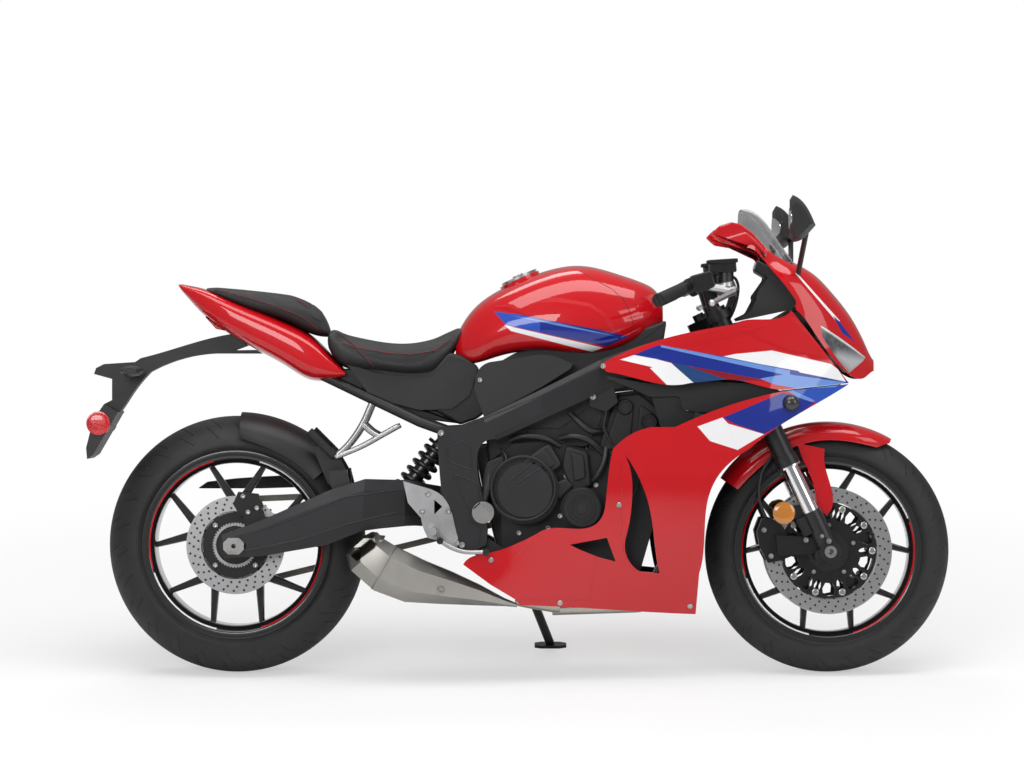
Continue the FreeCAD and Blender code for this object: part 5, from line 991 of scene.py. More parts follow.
def seatStrap(values):
    # a webbing band over the passenger seat's front, from the tail on one side to the other
    places, directions = [], []
    for share in np.linspace(0, 1, values["steps"]):
        angle = math.pi * (share - 0.5) * values["wrap"]
        direction = np.array((0, math.sin(angle), math.cos(angle)))
        for along in np.linspace(-0.5, 0.5, values["columns"]):
            centre = np.array(values["centre"]) + along * values["width"] * np.array(values["along"])
            place, _ = castFrom(passengerSurface, centre + direction * values["reach"], -direction)
            places.append(centre + direction * values["fallback"] if place is None else place)
            directions.append(direction)
    places = np.reshape(places, (values["steps"], values["columns"], 3))
    directions = np.reshape(directions, places.shape)
    crown = 1 - np.linspace(-1, 1, values["columns"]) ** 6
    top = places + directions * values["thick"] * (0.35 + 0.65 * crown)[None, :, None]
    bottom = places - directions * values["thick"]
    loop = np.concatenate([top, bottom[:, ::-1]], axis=1)
    steps, around = loop.shape[:2]
    quads = steps * around - around
    faces = tubeFaces(steps, around)
    faces = [face[::-1] for face in faces[:quads]] + faces[quads:]
    return meshPiece("seatStrap", loop, faces, strapWeave, "chassis", 50)


strapMaker = Finish("strapWeave", (0.020, 0.020, 0.021), 0.75)
weave = strapMaker.noise(900.0, 1.0)
strapMaker.bump(weave, 0.6, 0.0006)
strapMaker.paint(strapMaker.layer((0.015, 0.015, 0.016), strapMaker.ramp(weave, 0.35, 0.65),
                                  (0.030, 0.030, 0.031)))
strapWeave = strapMaker.material
strapSizes = {"centre": spot(318, 328) * (1, 0, 1), "along": (0.86, 0, -0.5), "width": 0.030, "steps": 60,
              "columns": 9, "wrap": 0.86, "thick": 0.0022, "reach": 0.25, "fallback": 0.07}
seatStrap(strapSizes)
print("seams and strap made")

# Engine and frame details

def ringProfile(rings, base, depth=0.004, chamfer=0.0008, edge=0.002, foot=0.006):
    # raised rings on a round face: pairs of (inner, outer) radius, from the middle out
    floor = base + depth * 0.4
    profile = [(nearAxis, floor)]
    for inner, outer in rings:
        profile += [(inner, floor), (inner + chamfer, base + depth), (outer - chamfer, base + depth),
                    (outer, floor)]
    last = rings[-1][1] + edge
    return profile + [(last, base), (last, base - foot), (nearAxis, base - foot)]


engineSurface = nodeSurface("engine_covers", "crankcase", "cylinder_block")
coverRings = [(582, 508, 1, [(0.012, 0.016), (0.022, 0.026), (0.031, 0.035), (0.042, 0.046)]),
              (600, 508, -1, [(0.020, 0.024), (0.036, 0.042)])]
ringSolids = []
for column, row, side, rings in coverRings:
    place, _ = under(engineSurface, column, row, side)
    if place is not None:
        ringSolids.append((place[0], place[2], side, ringProfile(rings, abs(place[1]) + 0.0005)))
turned("coverRings", ringSolids, coverCoat, "chassis", "engine_paint", 96)
clutch = {"centre": spot(523, 488, 0.15), "radius": 0.077, "wire": 0.0035, "lift": 0.001, "steps": 120}
clutchPlace, _ = under(engineSurface, 520, 500, 1)
rimTurns = np.linspace(0, fullTurn, clutch["steps"], endpoint=False)
clutchRim = np.stack([clutch["centre"][0] + clutch["radius"] * np.cos(rimTurns),
                      np.full(clutch["steps"], clutchPlace[1] + clutch["lift"]),
                      clutch["centre"][2] + clutch["radius"] * np.sin(rimTurns)], -1)
tubes("clutchRim", [clutchRim], clutch["wire"], coverCoat, "chassis", 10, True)
frameSurface = nodeSurface("frame_spar_right", "frame_spar_left", "frame_head", "pivot_bolt")
sideSurface = nodeSurface("fairing_side", "fairing_belly", "fairing_upper")
steelBolts = [  # name, surface, picture spots, head radius, head height
    ("engineBolts", engineSurface, [(507, 446), (487, 463), (486, 490), (499, 514), (519, 533), (566, 476),
                                    (572, 485), (596, 485), (582, 462), (579, 441), (548, 528), (560, 516)],
     0.0068, 0.006),
    ("headBolts", engineSurface, [(603, 452), (612, 420), (632, 398), (652, 406), (612, 402), (658, 430)],
     0.0055, 0.005),
    ("frameBolts", frameSurface, [(593, 397), (441, 433), (448, 534), (462, 545), (690, 322)], 0.0085, 0.006),
    ("fairingBolts", sideSurface, [(491, 560), (619, 505), (648, 387), (603, 366), (708, 520), (690, 606),
                                   (560, 603)], 0.0065, 0.0035),
    ("coverBolts", nodeSurface("seat_tray", "side_covers"), [(457, 415), (480, 380)], 0.0065, 0.004),
    ("plateBolts", nodeSurface("rider_footrests", "passenger_footrests"),
     [(428, 494), (422, 511), (448, 511), (457, 543)], 0.0075, 0.006)]
for name, surface, pixels, radius, height in steelBolts:
    boltsOn(name, surface, pixels, radius, height, steel, "chassis")
boltsOn("silencerBolt", nodeSurface("silencer"), [(441, 590)], 0.0085, 0.005, steel, "chassis", (1,))
boltsOn("headlampScrews", nodeSurface("nose_cowl"), [(722, 233), (800, 268), (740, 225)], 0.0045, 0.003,
        blackPlastic, "chassis")
print("bolts set")


def crestLines(name, tree, crests, radius, finish, body):
    # thin raised lines that follow a surface, almost half of each sunk in it
    paths = [pathOn(tree, pixels, side, steps, -radius * 0.45)[0]
             for pixels, steps in crests for side in bothSides]
    tubes(name, [path for path in paths if len(path) > 4], radius, finish, body, 8)


crestLines("caseRibs", engineSurface, [([(497, 470), (492, 490), (498, 510)], 14),
                                       ([(508, 482), (546, 452)], 14),
                                       ([(516, 484), (556, 458)], 14), ([(612, 402), (600, 450)], 16),
                                       ([(622, 440), (640, 402)], 14)],
           0.0028, coverCoat, "chassis")
sparCrests = [([(447, 448), (462, 441), (471, 449), (472, 470), (449, 462), (447, 448)], 40),
              ([(453, 474), (477, 483), (481, 502), (470, 512), (453, 474)], 40),
              ([(468, 520), (480, 528), (479, 545)], 16),
              ([(470, 424), (540, 396), (600, 366), (676, 333)], 60)]
crestLines("sparEdges", frameSurface, sparCrests, 0.0020, frameCoat, "chassis")
crestLines("swingEdges", nodeSurface("swingarm"), [([(236, 553), (300, 540), (345, 525), (398, 512)], 50),
                                                  ([(248, 534), (300, 516), (345, 497), (396, 490)], 50)],
           0.0022, frameCoat, "chassis")
crestLines("ventEdges", nodeSurface("fairing_side", "fairing_belly"),
           [([(626, 458), (631, 474), (638, 492), (645, 512), (650, 532), (653, 555)], 50),
            ([(622, 462), (621, 500), (622, 545), (629, 566)], 50)], 0.0022, plainPaint, "chassis")
panelGap = Finish("panelGap", (0.006, 0.004, 0.004), 0.6).grain(600.0, 0.2).material
crestLines("tankSeam", nodeSurface("fuel_tank"),
           [([(581, 272), (597, 281), (612, 289), (624, 300), (631, 315), (634, 330)], 60)], 0.0009, panelGap,
           "chassis")
print("ribs and seams made")

# Wheels and brakes

def aroundAxle(axle, radius, count, start, side, out):
    # evenly spaced places on a circle round the axle, so far out from the middle plane
    turn = np.radians(start + 360.0 / count * np.arange(count))
    return np.stack([axle[0] + radius * np.cos(turn), np.full(count, -side * out),
                     axle[2] + radius * np.sin(turn)], -1)


def hubBolts(name, tree, axle, ring, sides, radius, height, body, corners=6):
    # a ring (radius, count, first degrees) of bolt heads that face straight out of the wheel
    places, outwards = [], []
    for side in sides:
        for start in aroundAxle(axle, *ring, side, 0.2):
            place, _ = castFrom(tree, start, np.array((0, side, 0)))
            if place is not None:
                places.append(place)
                outwards.append((0, -side, 0))
    boltHeads(name, places, outwards, radius, height, steel, body, corners)


def toothedRing(name, axle, out, values, body):
    # a thin steel ring with a square edge: the outer radius steps in and out round the axle
    steps, thick = values["teeth"] * 4, values["thick"]
    turn = np.linspace(0, fullTurn, steps, endpoint=False)
    tooth = np.where((np.arange(steps) // 2) % 2 == 0, values["outer"], values["outer"] - values["depth"])
    root = np.full(steps, values["inner"])
    points = np.stack([np.stack([axle[0] + radius * np.cos(turn), np.full(steps, -place),
                                 axle[2] + radius * np.sin(turn)], -1)
                       for radius, place in ((root, out), (tooth, out), (tooth, out - thick),
                                             (root, out - thick))])
    faces, _ = gridFaces(4, steps, True, True)
    return meshPiece(name, points, faces.tolist(), steel, body, smooth=False)


discSurface = nodeSurface("front_discs", "front_rim")
hubBolts("discButtons", discSurface, frontAxle, (0.1060, 10, 0), bothSides, 0.0085, 0.003, "front_wheel", 16)
hubBolts("discScrews", discSurface, frontAxle, (0.0628, 5, 18), bothSides, 0.0065, 0.006, "front_wheel")
hubBolts("rearScrews", nodeSurface("rear_disc", "rear_rim"), rearAxle, (0.0690, 4, 45), (1,), 0.0075, 0.007,
         "rear_wheel")
hubBolts("sprocketNuts", nodeSurface("rear_sprocket", "rear_rim"), rearAxle, (0.055, 6, 0), (-1,), 0.0085,
         0.007, "rear_wheel")
speedRing = {"start": np.array((0.060, -0.2, 0.315)), "proud": 0.0035, "inner": 0.047, "outer": 0.056,
             "teeth": 48, "depth": 0.003, "thick": 0.002}
discPlace, _ = castFrom(nodeSurface("rear_disc"), speedRing["start"], np.array((0, 1, 0)))
if discPlace is not None:
    toothedRing("speedRing", rearAxle, abs(discPlace[1]) + speedRing["proud"], speedRing, "rear_wheel")
caliperSurface = nodeSurface("front_calipers", "front_axle", "fork_legs")
boltsOn("caliperBolts", caliperSurface, [(764, 530), (771, 556), (806, 540), (829, 541)], 0.0075, 0.007,
        steel, "steering")
boltsOn("forkPinch", nodeSurface("fork_legs"), [(822, 536)], 0.006, 0.005, steel, "steering")
boltsOn("rearCaliperBolts", nodeSurface("rear_caliper"), [(243, 496), (257, 508), (248, 512)], 0.0065, 0.006,
        steel, "chassis", (1,))
boltsOn("axleNut", nodeSurface("rear_axle", "swingarm"), [(235.5, 547.3)], 0.0165, 0.010, steel, "chassis",
        bothSides, 6)
print("wheel hardware set")

# Mirrors and reflectors

def patchOn(name, tree, centre, first, second, direction, values, finish, body):
    # an oval sheet, domed and thickened, laid on a surface: its places are cast along one direction
    rings, around = values["rings"], values["around"]
    places = (centre, first, second, direction)
    centre, first, second, direction = (np.array(place, float) for place in places)
    places = []
    for ring in range(rings):
        share = (ring + values["middle"]) / (rings - 1 + values["middle"])
        for angle in np.linspace(0, fullTurn, around, endpoint=False):
            start = centre + share * (first * math.cos(angle) + second * math.sin(angle))
            place, _ = castFrom(tree, start, direction)
            places.append(place if place is not None else (np.nan,) * 3)
    places = np.array(places)
    good = ~np.isnan(places[:, 0])
    if good.sum() < values["fewest"]:
        print("no surface under", name)
        return
    places[~good] = places[good].mean(0)
    back = -direction / np.linalg.norm(direction)
    lift = values["lift"] + values["dome"] * (1 - (np.repeat(np.arange(rings), around) / (rings - 1)) ** 2)
    points = np.concatenate([places + back * lift[:, None], (places - back * values["thick"])[-around:]])
    faces = tubeFaces(rings + 1, around)
    if np.dot(np.cross(first, second), back) >= 0:
        faces = [face[::-1] for face in faces]
    meshPiece(name, points, faces, finish, body, 40)


mirrorGlass = Finish("mirrorGlass", (0.86, 0.88, 0.90), 0.03, 1.0).grain(120.0, 0.02).material
mirrorTree = nodeSurface("mirrors")
mirrorPatch = {"rings": 8, "around": 40, "lift": 0.0012, "dome": 0.0015, "thick": 0.002, "middle": 0.02,
               "fewest": 8, "spot": spot(801, 219, 0.30), "before": 0.2, "out": 0.300, "halfWidth": 0.058,
               "halfHeight": 0.026}
for side, label in zip(bothSides, sideNames):
    mirrorStart = mirrorPatch["spot"] * (1, 0, 1) - (mirrorPatch["before"], side * mirrorPatch["out"], 0)
    patchOn("mirror" + label, mirrorTree, mirrorStart, (0, mirrorPatch["halfWidth"], 0),
            (0, 0, mirrorPatch["halfHeight"]), (1, 0, 0), mirrorPatch, mirrorGlass, "chassis")


def roundLens(name, centre, radius, depth, side, finish, body, slot):
    # a domed disc with a rim, out from centre
    profile = [(nearAxis, depth), (radius * 0.4, depth * 0.97), (radius * 0.75, depth * 0.86),
               (radius * 0.88, depth * 0.72), (radius * 0.9, depth * 0.55), (radius, depth * 0.5),
               (radius, 0.0), (nearAxis, 0.0)]
    profile = [(at, out + abs(centre[1])) for at, out in profile]
    return turned(name, [(centre[0], centre[2], side, profile)], finish, body, slot, 48)


ridgedRed = Finish("ridgedRed", (0.50, 0.008, 0.012), 0.10, 0.0, 1.0)
ridges = ridgedRed.noise(420.0, 1.0)
ridgedRed.bump(ridges, 0.7)
ridgedRed.paint(ridgedRed.layer((0.42, 0.006, 0.010), ridgedRed.ramp(ridges, 0.4, 0.6), (0.62, 0.015, 0.02)))
plateTree = nodeSurface("plate_carrier")
reflectorAt = spot(101, 423, 0.02)
for side, label in zip(bothSides, sideNames):
    place, _ = under(plateTree, 104, 418, side)
    if place is not None:
        roundLens("plateReflector" + label, (reflectorAt[0], place[1], reflectorAt[2]), 0.029, 0.010, side,
                  ridgedRed.material, "chassis", "red_lens")
print("mirrors and reflectors made")

# Hoses at the bars

hoseSizes = {"radius": 0.0036, "steps": 40,
             "lines": [[(724, 282, 0.110), (733, 277, 0.088), (738, 285, 0.074), (737, 299, 0.070),
                        (732, 314, 0.070), (724, 326, 0.070)],
                       [(720, 288, 0.100), (729, 281, 0.082), (733, 291, 0.070), (730, 305, 0.066),
                        (721, 318, 0.066)]]}
hosePaths = [smoothPath(np.array([spot(*corner) for corner in line]) * (1, side, 1), hoseSizes["steps"])
             for side in bothSides for line in hoseSizes["lines"]]
tubes("barHoses", hosePaths, hoseSizes["radius"], hoseRubber, "steering", 10)
print("bar hoses run")

# Instruments: a dark glass with a row of pale tick marks round a dial

def makeDisplay(values):
    # the glass swells by (1 - u^4)(1 - v^4) over its width and height
    centre, across, up, out = (np.array(values[key], float) for key in ("centre", "across", "up", "out"))
    up = up / np.linalg.norm(up)
    out = out / np.linalg.norm(out)
    u, v = np.meshgrid(np.linspace(-1, 1, values["columns"]), np.linspace(-1, 1, values["rows"]))
    bulge = values["bulge"] * (1 - u ** 4) * (1 - v ** 4)
    sheet = (centre + u[..., None] * across * values["halfWidth"] + v[..., None] * up * values["halfHeight"]
             + out * (values["lift"] + bulge)[..., None])
    points = np.concatenate([sheet.reshape(-1, 3), (sheet - out * values["thick"]).reshape(-1, 3)])
    meshPiece("displayGlass", points, sheetFaces(*u.shape), displayGlass, "chassis", 40)
    middle = centre + out * values["tickLift"] - across * values["halfWidth"] * 0.1
    ticks = []
    for angle in np.radians(np.linspace(-120, 120, values["ticks"])):
        direction = (across * math.sin(angle) + up * math.cos(angle)) * values["dial"]
        ticks.append(np.linspace(middle + direction * 0.82, middle + direction, 3))
    tubes("displayTicks", ticks, values["tickRadius"], paleMark, "chassis", 5)


displayGlass = Finish("displayGlass", (0.012, 0.014, 0.016), 0.08, 0.0, 1.0).grain(50.0, 0.03).material
paleMark = Finish("paleMark", (0.70, 0.72, 0.74), 0.5).grain(900.0, 0.1).material
panelTop, panelLow = spot(757, 261, 0.0), spot(754, 270.5, 0.0)
panelUp = panelTop - panelLow
panelOut = np.array((-panelUp[2], 0, panelUp[0]))
makeDisplay({"centre": (panelTop + panelLow) / 2, "across": (0, 1, 0), "up": panelUp, "out": panelOut,
             "halfWidth": 0.046, "halfHeight": 0.0095, "columns": 24, "rows": 16, "bulge": 0.0015,
             "lift": 0.002, "thick": 0.006, "dial": 0.0088, "ticks": 21, "tickLift": 0.0042,
             "tickRadius": 0.0005})
print("display made")

# Black panels inside the nose, between the lip and the upper fairing

def shellBetween(name, first, second, values, finish, body):
    # a sheet ruled between two lines of picture spots, kept inside the bodywork, mirrored to both sides
    rows, columns = values["rows"], values["columns"]
    start, end = resampled(first, rows), resampled(second, rows)
    share = np.linspace(0, 1, columns)[None, :, None]
    pixels = start[:, None] * (1 - share) + end[:, None] * share
    out = np.empty((rows, columns))
    for i in range(rows):
        for j in range(columns):
            place, _ = castFrom(values["inside"], spot(*pixels[i, j], 0.0), np.array((0, -1, 0)))
            limit = values["most"] if place is None else min(values["most"], abs(place[1]) - values["gap"])
            out[i, j] = max(limit, values["least"])
    for turn in range(values["smooth"]):
        smooth = out.copy()
        smooth[1:-1, 1:-1] = (out[:-2, 1:-1] + out[2:, 1:-1] + out[1:-1, :-2] + out[1:-1, 2:]) / 4
        out = np.minimum(out, smooth)
    face = spot(pixels[..., 0], pixels[..., 1], out).reshape(-1, 3)
    points = np.concatenate([face, face + (0, values["thick"], 0)])
    faces = sheetFaces(rows, columns)
    faces += [[index + len(points) for index in corners[::-1]] for corners in faces]
    points = np.concatenate([points, points * (1, -1, 1)])
    outwardNormals(meshPiece(name, points, faces, finish, body, 35).data)


shellBetween("innerNosePanel", [(767, 263), (768, 278), (756, 295), (757, 299), (750, 312), (739, 317.5)],
             [(768, 262.5), (780, 270), (794, 289), (797, 300), (793, 309), (741, 320)],
             {"rows": 30, "columns": 14, "most": 0.122, "least": 0.070, "gap": 0.003, "thick": 0.003,
              "smooth": 3, "inside": nodeSurface("nose_cowl", "fairing_upper")},
             blackPlastic, "chassis")
print("inner nose panels made")

# Plates: outlines of picture spots with a rounded edge, as deep as the real castings and panels

def rounded(corners, share):
    # each corner is cut back by a share of its sides and bridged by a middle place
    corners = np.asarray(corners, float)
    before, after = np.roll(corners, 1, 0), np.roll(corners, -1, 0)
    first, last = corners + (before - corners) * share, corners + (after - corners) * share
    middle = corners * 0.5 + (first + last) * 0.25
    return np.stack([first, middle, last], 1).reshape(-1, 2)


def inset(loop, width):
    # a closed loop of (x, z) moved inwards along the middle of each corner
    before, after = loop - np.roll(loop, 1, 0), np.roll(loop, -1, 0) - loop
    before /= np.maximum(np.linalg.norm(before, axis=1, keepdims=True), 1e-9)
    after /= np.maximum(np.linalg.norm(after, axis=1, keepdims=True), 1e-9)
    area = np.sum(loop[:, 0] * np.roll(loop[:, 1], -1) - np.roll(loop[:, 0], -1) * loop[:, 1])
    normal = np.stack([-(before + after)[:, 1], (before + after)[:, 0]], -1) * np.sign(area)
    size = np.linalg.norm(normal, axis=1, keepdims=True)
    return loop + normal / np.maximum(size, 1e-9) * width * np.minimum(2 / np.maximum(size, 0.8), 1.8)


def plateLoops(loop, out, inner, bevel):
    # rings from the outer face to the inner one, narrower at both faces
    rings = [(bevel, out), (bevel * 0.3, out - bevel * 0.3), (0.0, out - bevel), (0.0, inner + bevel),
             (bevel * 0.3, inner + bevel * 0.3), (bevel, inner)]
    if bevel == 0:
        rings = [(0.0, out), (0.0, inner)]
    made = []
    for width, depth in rings:
        edge = inset(loop, width) if width else loop
        made.append(np.stack([edge[:, 0], np.full(len(edge), -depth), edge[:, 1]], -1))
    return np.array(made)


def loopMesh(name, solids, finish, body, sharp=32, hoops=()):
    # hoops closed on themselves, as (points, faces), then stacks of rings with a flat face at both ends
    points, faces, start = [], [], 0
    for ring, quads in hoops:
        points.append(ring)
        faces += (quads + start).tolist()
        start += len(ring)
    for rings in solids:
        steps, count = rings.shape[:2]
        quads, _ = gridFaces(steps, count, False, True)
        end = np.arange(count) + start
        faces += (quads + start).tolist() + [end.tolist(), (end + (steps - 1) * count)[::-1].tolist()]
        points.append(rings.reshape(-1, 3))
        start += rings.size // 3
    piece = meshPiece(name, np.concatenate(points), faces, finish, body, sharp)
    outwardNormals(piece.data)
    return piece


def plates(name, outlines, finish, body, sides=bothSides, corner=0.16):
    # outlines are (picture corners, out, inner, bevel); one that reaches past the middle is made once
    solids = []
    for outline, out, inner, bevel in outlines:
        loop = spot(*rounded(outline, corner).T, out)[:, [0, 2]]
        rings = plateLoops(loop, out, inner, bevel)
        solids += [rings * (1, side, 1) for side in ((1,) if inner < 0 else sides)]
    return loopMesh(name, solids, finish, body)


def mirroredPaths(spots, steps):
    # smooth curves through (column, row, out) spots, on both sides
    curves = [smoothPath([spot(*corner) for corner in line], steps) for line in spots]
    return [curve * (1, side, 1) for curve in curves for side in bothSides]


# The engine's raised boxes: starter, cylinder head with its cam cover, water pump and case ribs
engineBoxes = [([(506, 472), (549, 442), (563, 466), (525, 484)], 0.152, 0.100, 0.006),
               ([(512, 470), (545, 447), (556, 465), (527, 479)], 0.158, 0.140, 0.003),
               ([(596, 455), (616, 396), (639, 393), (664, 412), (655, 462)], 0.116, -0.116, 0.006),
               ([(604, 450), (619, 404), (634, 401), (630, 448)], 0.124, 0.110, 0.004),
               ([(640, 404), (657, 416), (650, 446), (636, 448)], 0.122, 0.110, 0.004),
               ([(566, 446), (588, 452), (592, 486), (572, 492), (562, 468)], 0.140, 0.100, 0.005),
               ([(571, 452), (584, 456), (586, 478), (574, 482)], 0.147, 0.130, 0.004),
               ([(486, 462), (503, 455), (508, 470), (492, 486), (487, 505), (480, 500)],
                0.146, 0.100, 0.005),
               ([(548, 486), (566, 478), (574, 486), (560, 500)], 0.150, 0.100, 0.005)]
plates("engineBoxes", engineBoxes, coverCoat, "chassis")
capSizes = {"radius": 0.0165, "rim": 0.0195, "base": 0.110, "top": 0.131}
capProfile = [(nearAxis, capSizes["top"] - 0.002), (capSizes["radius"] * 0.7, capSizes["top"] - 0.002),
              (capSizes["radius"] * 0.8, capSizes["top"]), (capSizes["radius"], capSizes["top"]),
              (capSizes["rim"], capSizes["top"] - 0.004), (capSizes["rim"], capSizes["base"]),
              (nearAxis, capSizes["base"])]
capSpots = [spot(column, row, capSizes["top"]) for column, row in ((625, 407), (650, 422))]
turned("camCaps", [(at[0], at[2], side, capProfile) for at in capSpots for side in bothSides], coverCoat,
       "chassis", "engine_paint", 48)
engineTubes = [[(570, 413, 0.118), (580, 423, 0.130), (591, 431, 0.130), (603, 431, 0.112)],
               [(560, 438, 0.120), (574, 436, 0.134), (590, 441, 0.134), (606, 456, 0.118)],
               [(664, 430, 0.100), (678, 424, 0.118), (690, 420, 0.124), (700, 424, 0.110)],
               [(655, 470, 0.100), (668, 482, 0.120), (682, 500, 0.128), (692, 512, 0.110)],
               [(510, 440, 0.120), (524, 436, 0.138), (544, 438, 0.138), (560, 446, 0.118)],
               [(588, 486, 0.120), (598, 474, 0.138), (604, 462, 0.134), (606, 448, 0.116)]]
tubes("engineHoses", mirroredPaths(engineTubes, 36), 0.0075, hoseRubber, "chassis", 12)
engineWires = [[(600, 396, 0.118), (606, 410, 0.128), (604, 428, 0.130), (612, 444, 0.126)],
               [(500, 448, 0.132), (506, 458, 0.148), (500, 470, 0.148), (490, 474, 0.134)],
               [(640, 466, 0.122), (636, 490, 0.128), (626, 508, 0.128), (616, 524, 0.126)]]
tubes("engineWires", mirroredPaths(engineWires, 30), 0.0032, hoseRubber, "chassis", 8)
print("engine boxes made")

# Dark covers between the tank, seat, frame and engine, and behind the side panels
plates("middleCovers", [
    ([(482, 372), (520, 350), (600, 342), (650, 326), (667, 320), (662, 352), (655, 388), (608, 393),
      (602, 424), (588, 449), (545, 446), (512, 450), (498, 458), (488, 466)], 0.100, -0.100, 0.006),
    ([(474, 446), (514, 440), (514, 560), (500, 562), (486, 506)], 0.086, -0.086, 0.006),
    ([(341, 356), (372, 366), (395, 370), (432, 371), (449, 352), (462, 356), (478, 366), (486, 412),
      (477, 419), (460, 425), (447, 417), (433, 409), (420, 407), (372, 398)], 0.090, -0.090, 0.006),
    ([(318, 374), (347, 368), (374, 372), (424, 404), (440, 412), (462, 424), (430, 420), (398, 410),
      (362, 394)], 0.074, -0.074, 0.004)], blackPlastic, "chassis")
innerPanel = [(585, 370), (612, 377), (650, 384), (700, 381), (760, 384), (782, 391), (770, 400), (722, 413),
              (698, 412), (683, 410), (680, 396), (650, 397), (640, 392), (612, 380), (590, 377)]
plates("innerFairing", [(innerPanel, 0.153, 0.150, 0.0)], blackPlastic, "chassis")
ductPanel = [(650, 390), (680, 391), (684, 411), (722, 413), (709, 422), (702, 470), (695, 470), (693, 432),
             (662, 432)]
plates("ductPanels", [(ductPanel, 0.140, 0.136, 0.0)], blackPlastic, "chassis")
plates("chainGuard", [([(190, 491), (200, 484), (230, 480.5), (260, 478.5), (290, 477), (334, 480),
                        (338, 506), (322, 506), (318, 489), (255, 491)], 0.1230, 0.1185, 0.0015)],
       blackPlastic, "chassis", (-1,), 0.08)
plates("instrumentCase", [([(757, 260), (776, 270), (772, 281), (755, 271.5)], 0.054, -0.054, 0.003)],
       blackPlastic, "chassis")
plates("reflectorPlates", [([(778, 506), (806, 505), (806, 519), (778, 518)], 0.1095, 0.1045, 0.001)],
       forkBlack, "steering")
print("covers made")


# Front signal lamps, reflectors and hoses
def podParts(at, radius, depth, base):
    # a domed lens with its back half as deep, on both sides
    profile = [(nearAxis, 1.0), (0.35, 0.97), (0.62, 0.86), (0.85, 0.62), (0.98, 0.3), (1.0, 0.0),
               (0.95, -0.4), (nearAxis, -0.4)]
    return [(at[0], at[2], side, [(share * radius, part * depth + base) for share, part in profile])
            for side in bothSides]


podPlace, _ = under(nodeSurface("fairing_side"), 791, 403, 1)
turned("signalPods", podParts(podPlace, 0.0205, 0.022, abs(podPlace[1]) - 0.002), podPlastic, "chassis",
       "black_plastic", 48)
turned("forkReflectors", podParts(spot(784, 513, 0.11), 0.0275, 0.006, 0.1095), amberGlass, "steering",
       "red_lens", 48)
hoseSpots = [(770, 526, 0.102, 0.0775), (760, 500, 0.102, 0.0775), (762, 474, 0.102, 0.0775),
             (773, 452, 0.102, 0.0775), (762, 430, 0.102, 0.0760), (748, 412, 0.080, 0.0740)]
frontHose = smoothPath([spot(column, row, drawnOut) * (1, 0, 1) - (0, out, 0)
                        for column, row, drawnOut, out in hoseSpots], 60)
tubes("frontHoses", [frontHose * (1, side, 1) for side in bothSides], 0.0040, hoseRubber, "steering",
      10)
print("front lamps and hoses made")

# Shock absorber: a wound spring between two collars on a damper, with a bolt across at each end

def coilPath(low, high, radius, turns, steps):
    # a helix about the line from low to high
    low, high = np.array(low), np.array(high)
    along = (high - low) / np.linalg.norm(high - low)
    side = np.cross(along, (0, 1, 0))
    side /= np.linalg.norm(side)
    other = np.cross(along, side)
    share = np.linspace(0, 1, steps)
    angle = share * turns * fullTurn
    return (low + (high - low) * share[:, None] + radius * (np.cos(angle)[:, None] * side
                                                             + np.sin(angle)[:, None] * other))


springBlack = Finish("springBlack", (0.018, 0.018, 0.019), 0.35, 0.2, 0.5).grain(500.0, 0.1).material

shock = {"radius": 0.0275, "wire": 0.0062, "turns": 6.5, "damper": 0.0185, "collar": 0.033,
         "collarLong": 0.008, "collarGap": 0.004, "lowSeat": 0.040, "highSeat": 0.036, "bolt": 0.012,
         "lowBolt": 0.122, "highBolt": 0.125, "steps": 260}
shockLow, shockHigh = spot(390, 508, 0.0), spot(447, 438, 0.0)
shockAlong = (shockHigh - shockLow) / np.linalg.norm(shockHigh - shockLow)
springStart, springEnd = shockLow + shockAlong * shock["lowSeat"], shockHigh - shockAlong * shock["highSeat"]
tubes("spring", [coilPath(springStart, springEnd, shock["radius"], shock["turns"], shock["steps"])],
      shock["wire"], springBlack, "chassis", 12)
collarStarts = (springStart - shockAlong * (shock["collarGap"] + shock["collarLong"]),
                springEnd + shockAlong * shock["collarGap"])
tubes("springCollars", [np.linspace(end, end + shockAlong * shock["collarLong"], 4) for end in collarStarts],
      shock["collar"], frameCoat, "chassis", 40)
tubes("damper", [np.linspace(shockLow, shockHigh, 12)], shock["damper"], springBlack, "chassis", 32)
boltPaths = [np.array([(end[0], across, end[2]) for across in np.linspace(-half, half, 8)])
             for end, half in ((shockLow, shock["lowBolt"]), (shockHigh, shock["highBolt"]))]
tubes("shockBolts", boltPaths, shock["bolt"], frameCoat, "chassis", 24)
print("shock absorber made")

# Brake pedal on the right, gear pedal on the left
pedals = {"out": 0.180, "arm": 0.0052, "toe": 0.0082,
          "line": [(440, 541), (452, 548), (466, 552), (486, 552)]}
pedalPath = smoothPath([spot(column, row, pedals["out"]) for column, row in pedals["line"]], 24)
toe = np.array([pedalPath[-1] + (0, -along, 0) for along in np.linspace(-0.004, 0.036, 5)])
pivot = np.array([pedalPath[0] + (0, -along, 0) for along in np.linspace(-0.014, 0.006, 4)])
tubes("pedalArms", [pedalPath * (1, side, 1) for side in bothSides], pedals["arm"], castAlloy, "chassis",
      12)
tubes("pedalToes", [line * (1, side, 1) for line in (toe, pivot) for side in bothSides], pedals["toe"],
      gripRubber, "chassis", 16)
print("pedals made")

# Wheels: a hoop and a hub turned round the axle, with five slender arms that fork towards the hoop

def turnedLoop(profile, axle, steps):
    # rings for a closed profile of (radius, across) carried round the axle
    ring = wheelRing(np.asarray(profile, float), axle, steps)
    return ring.reshape(-1, 3), gridFaces(steps, len(profile), True, True)[0]


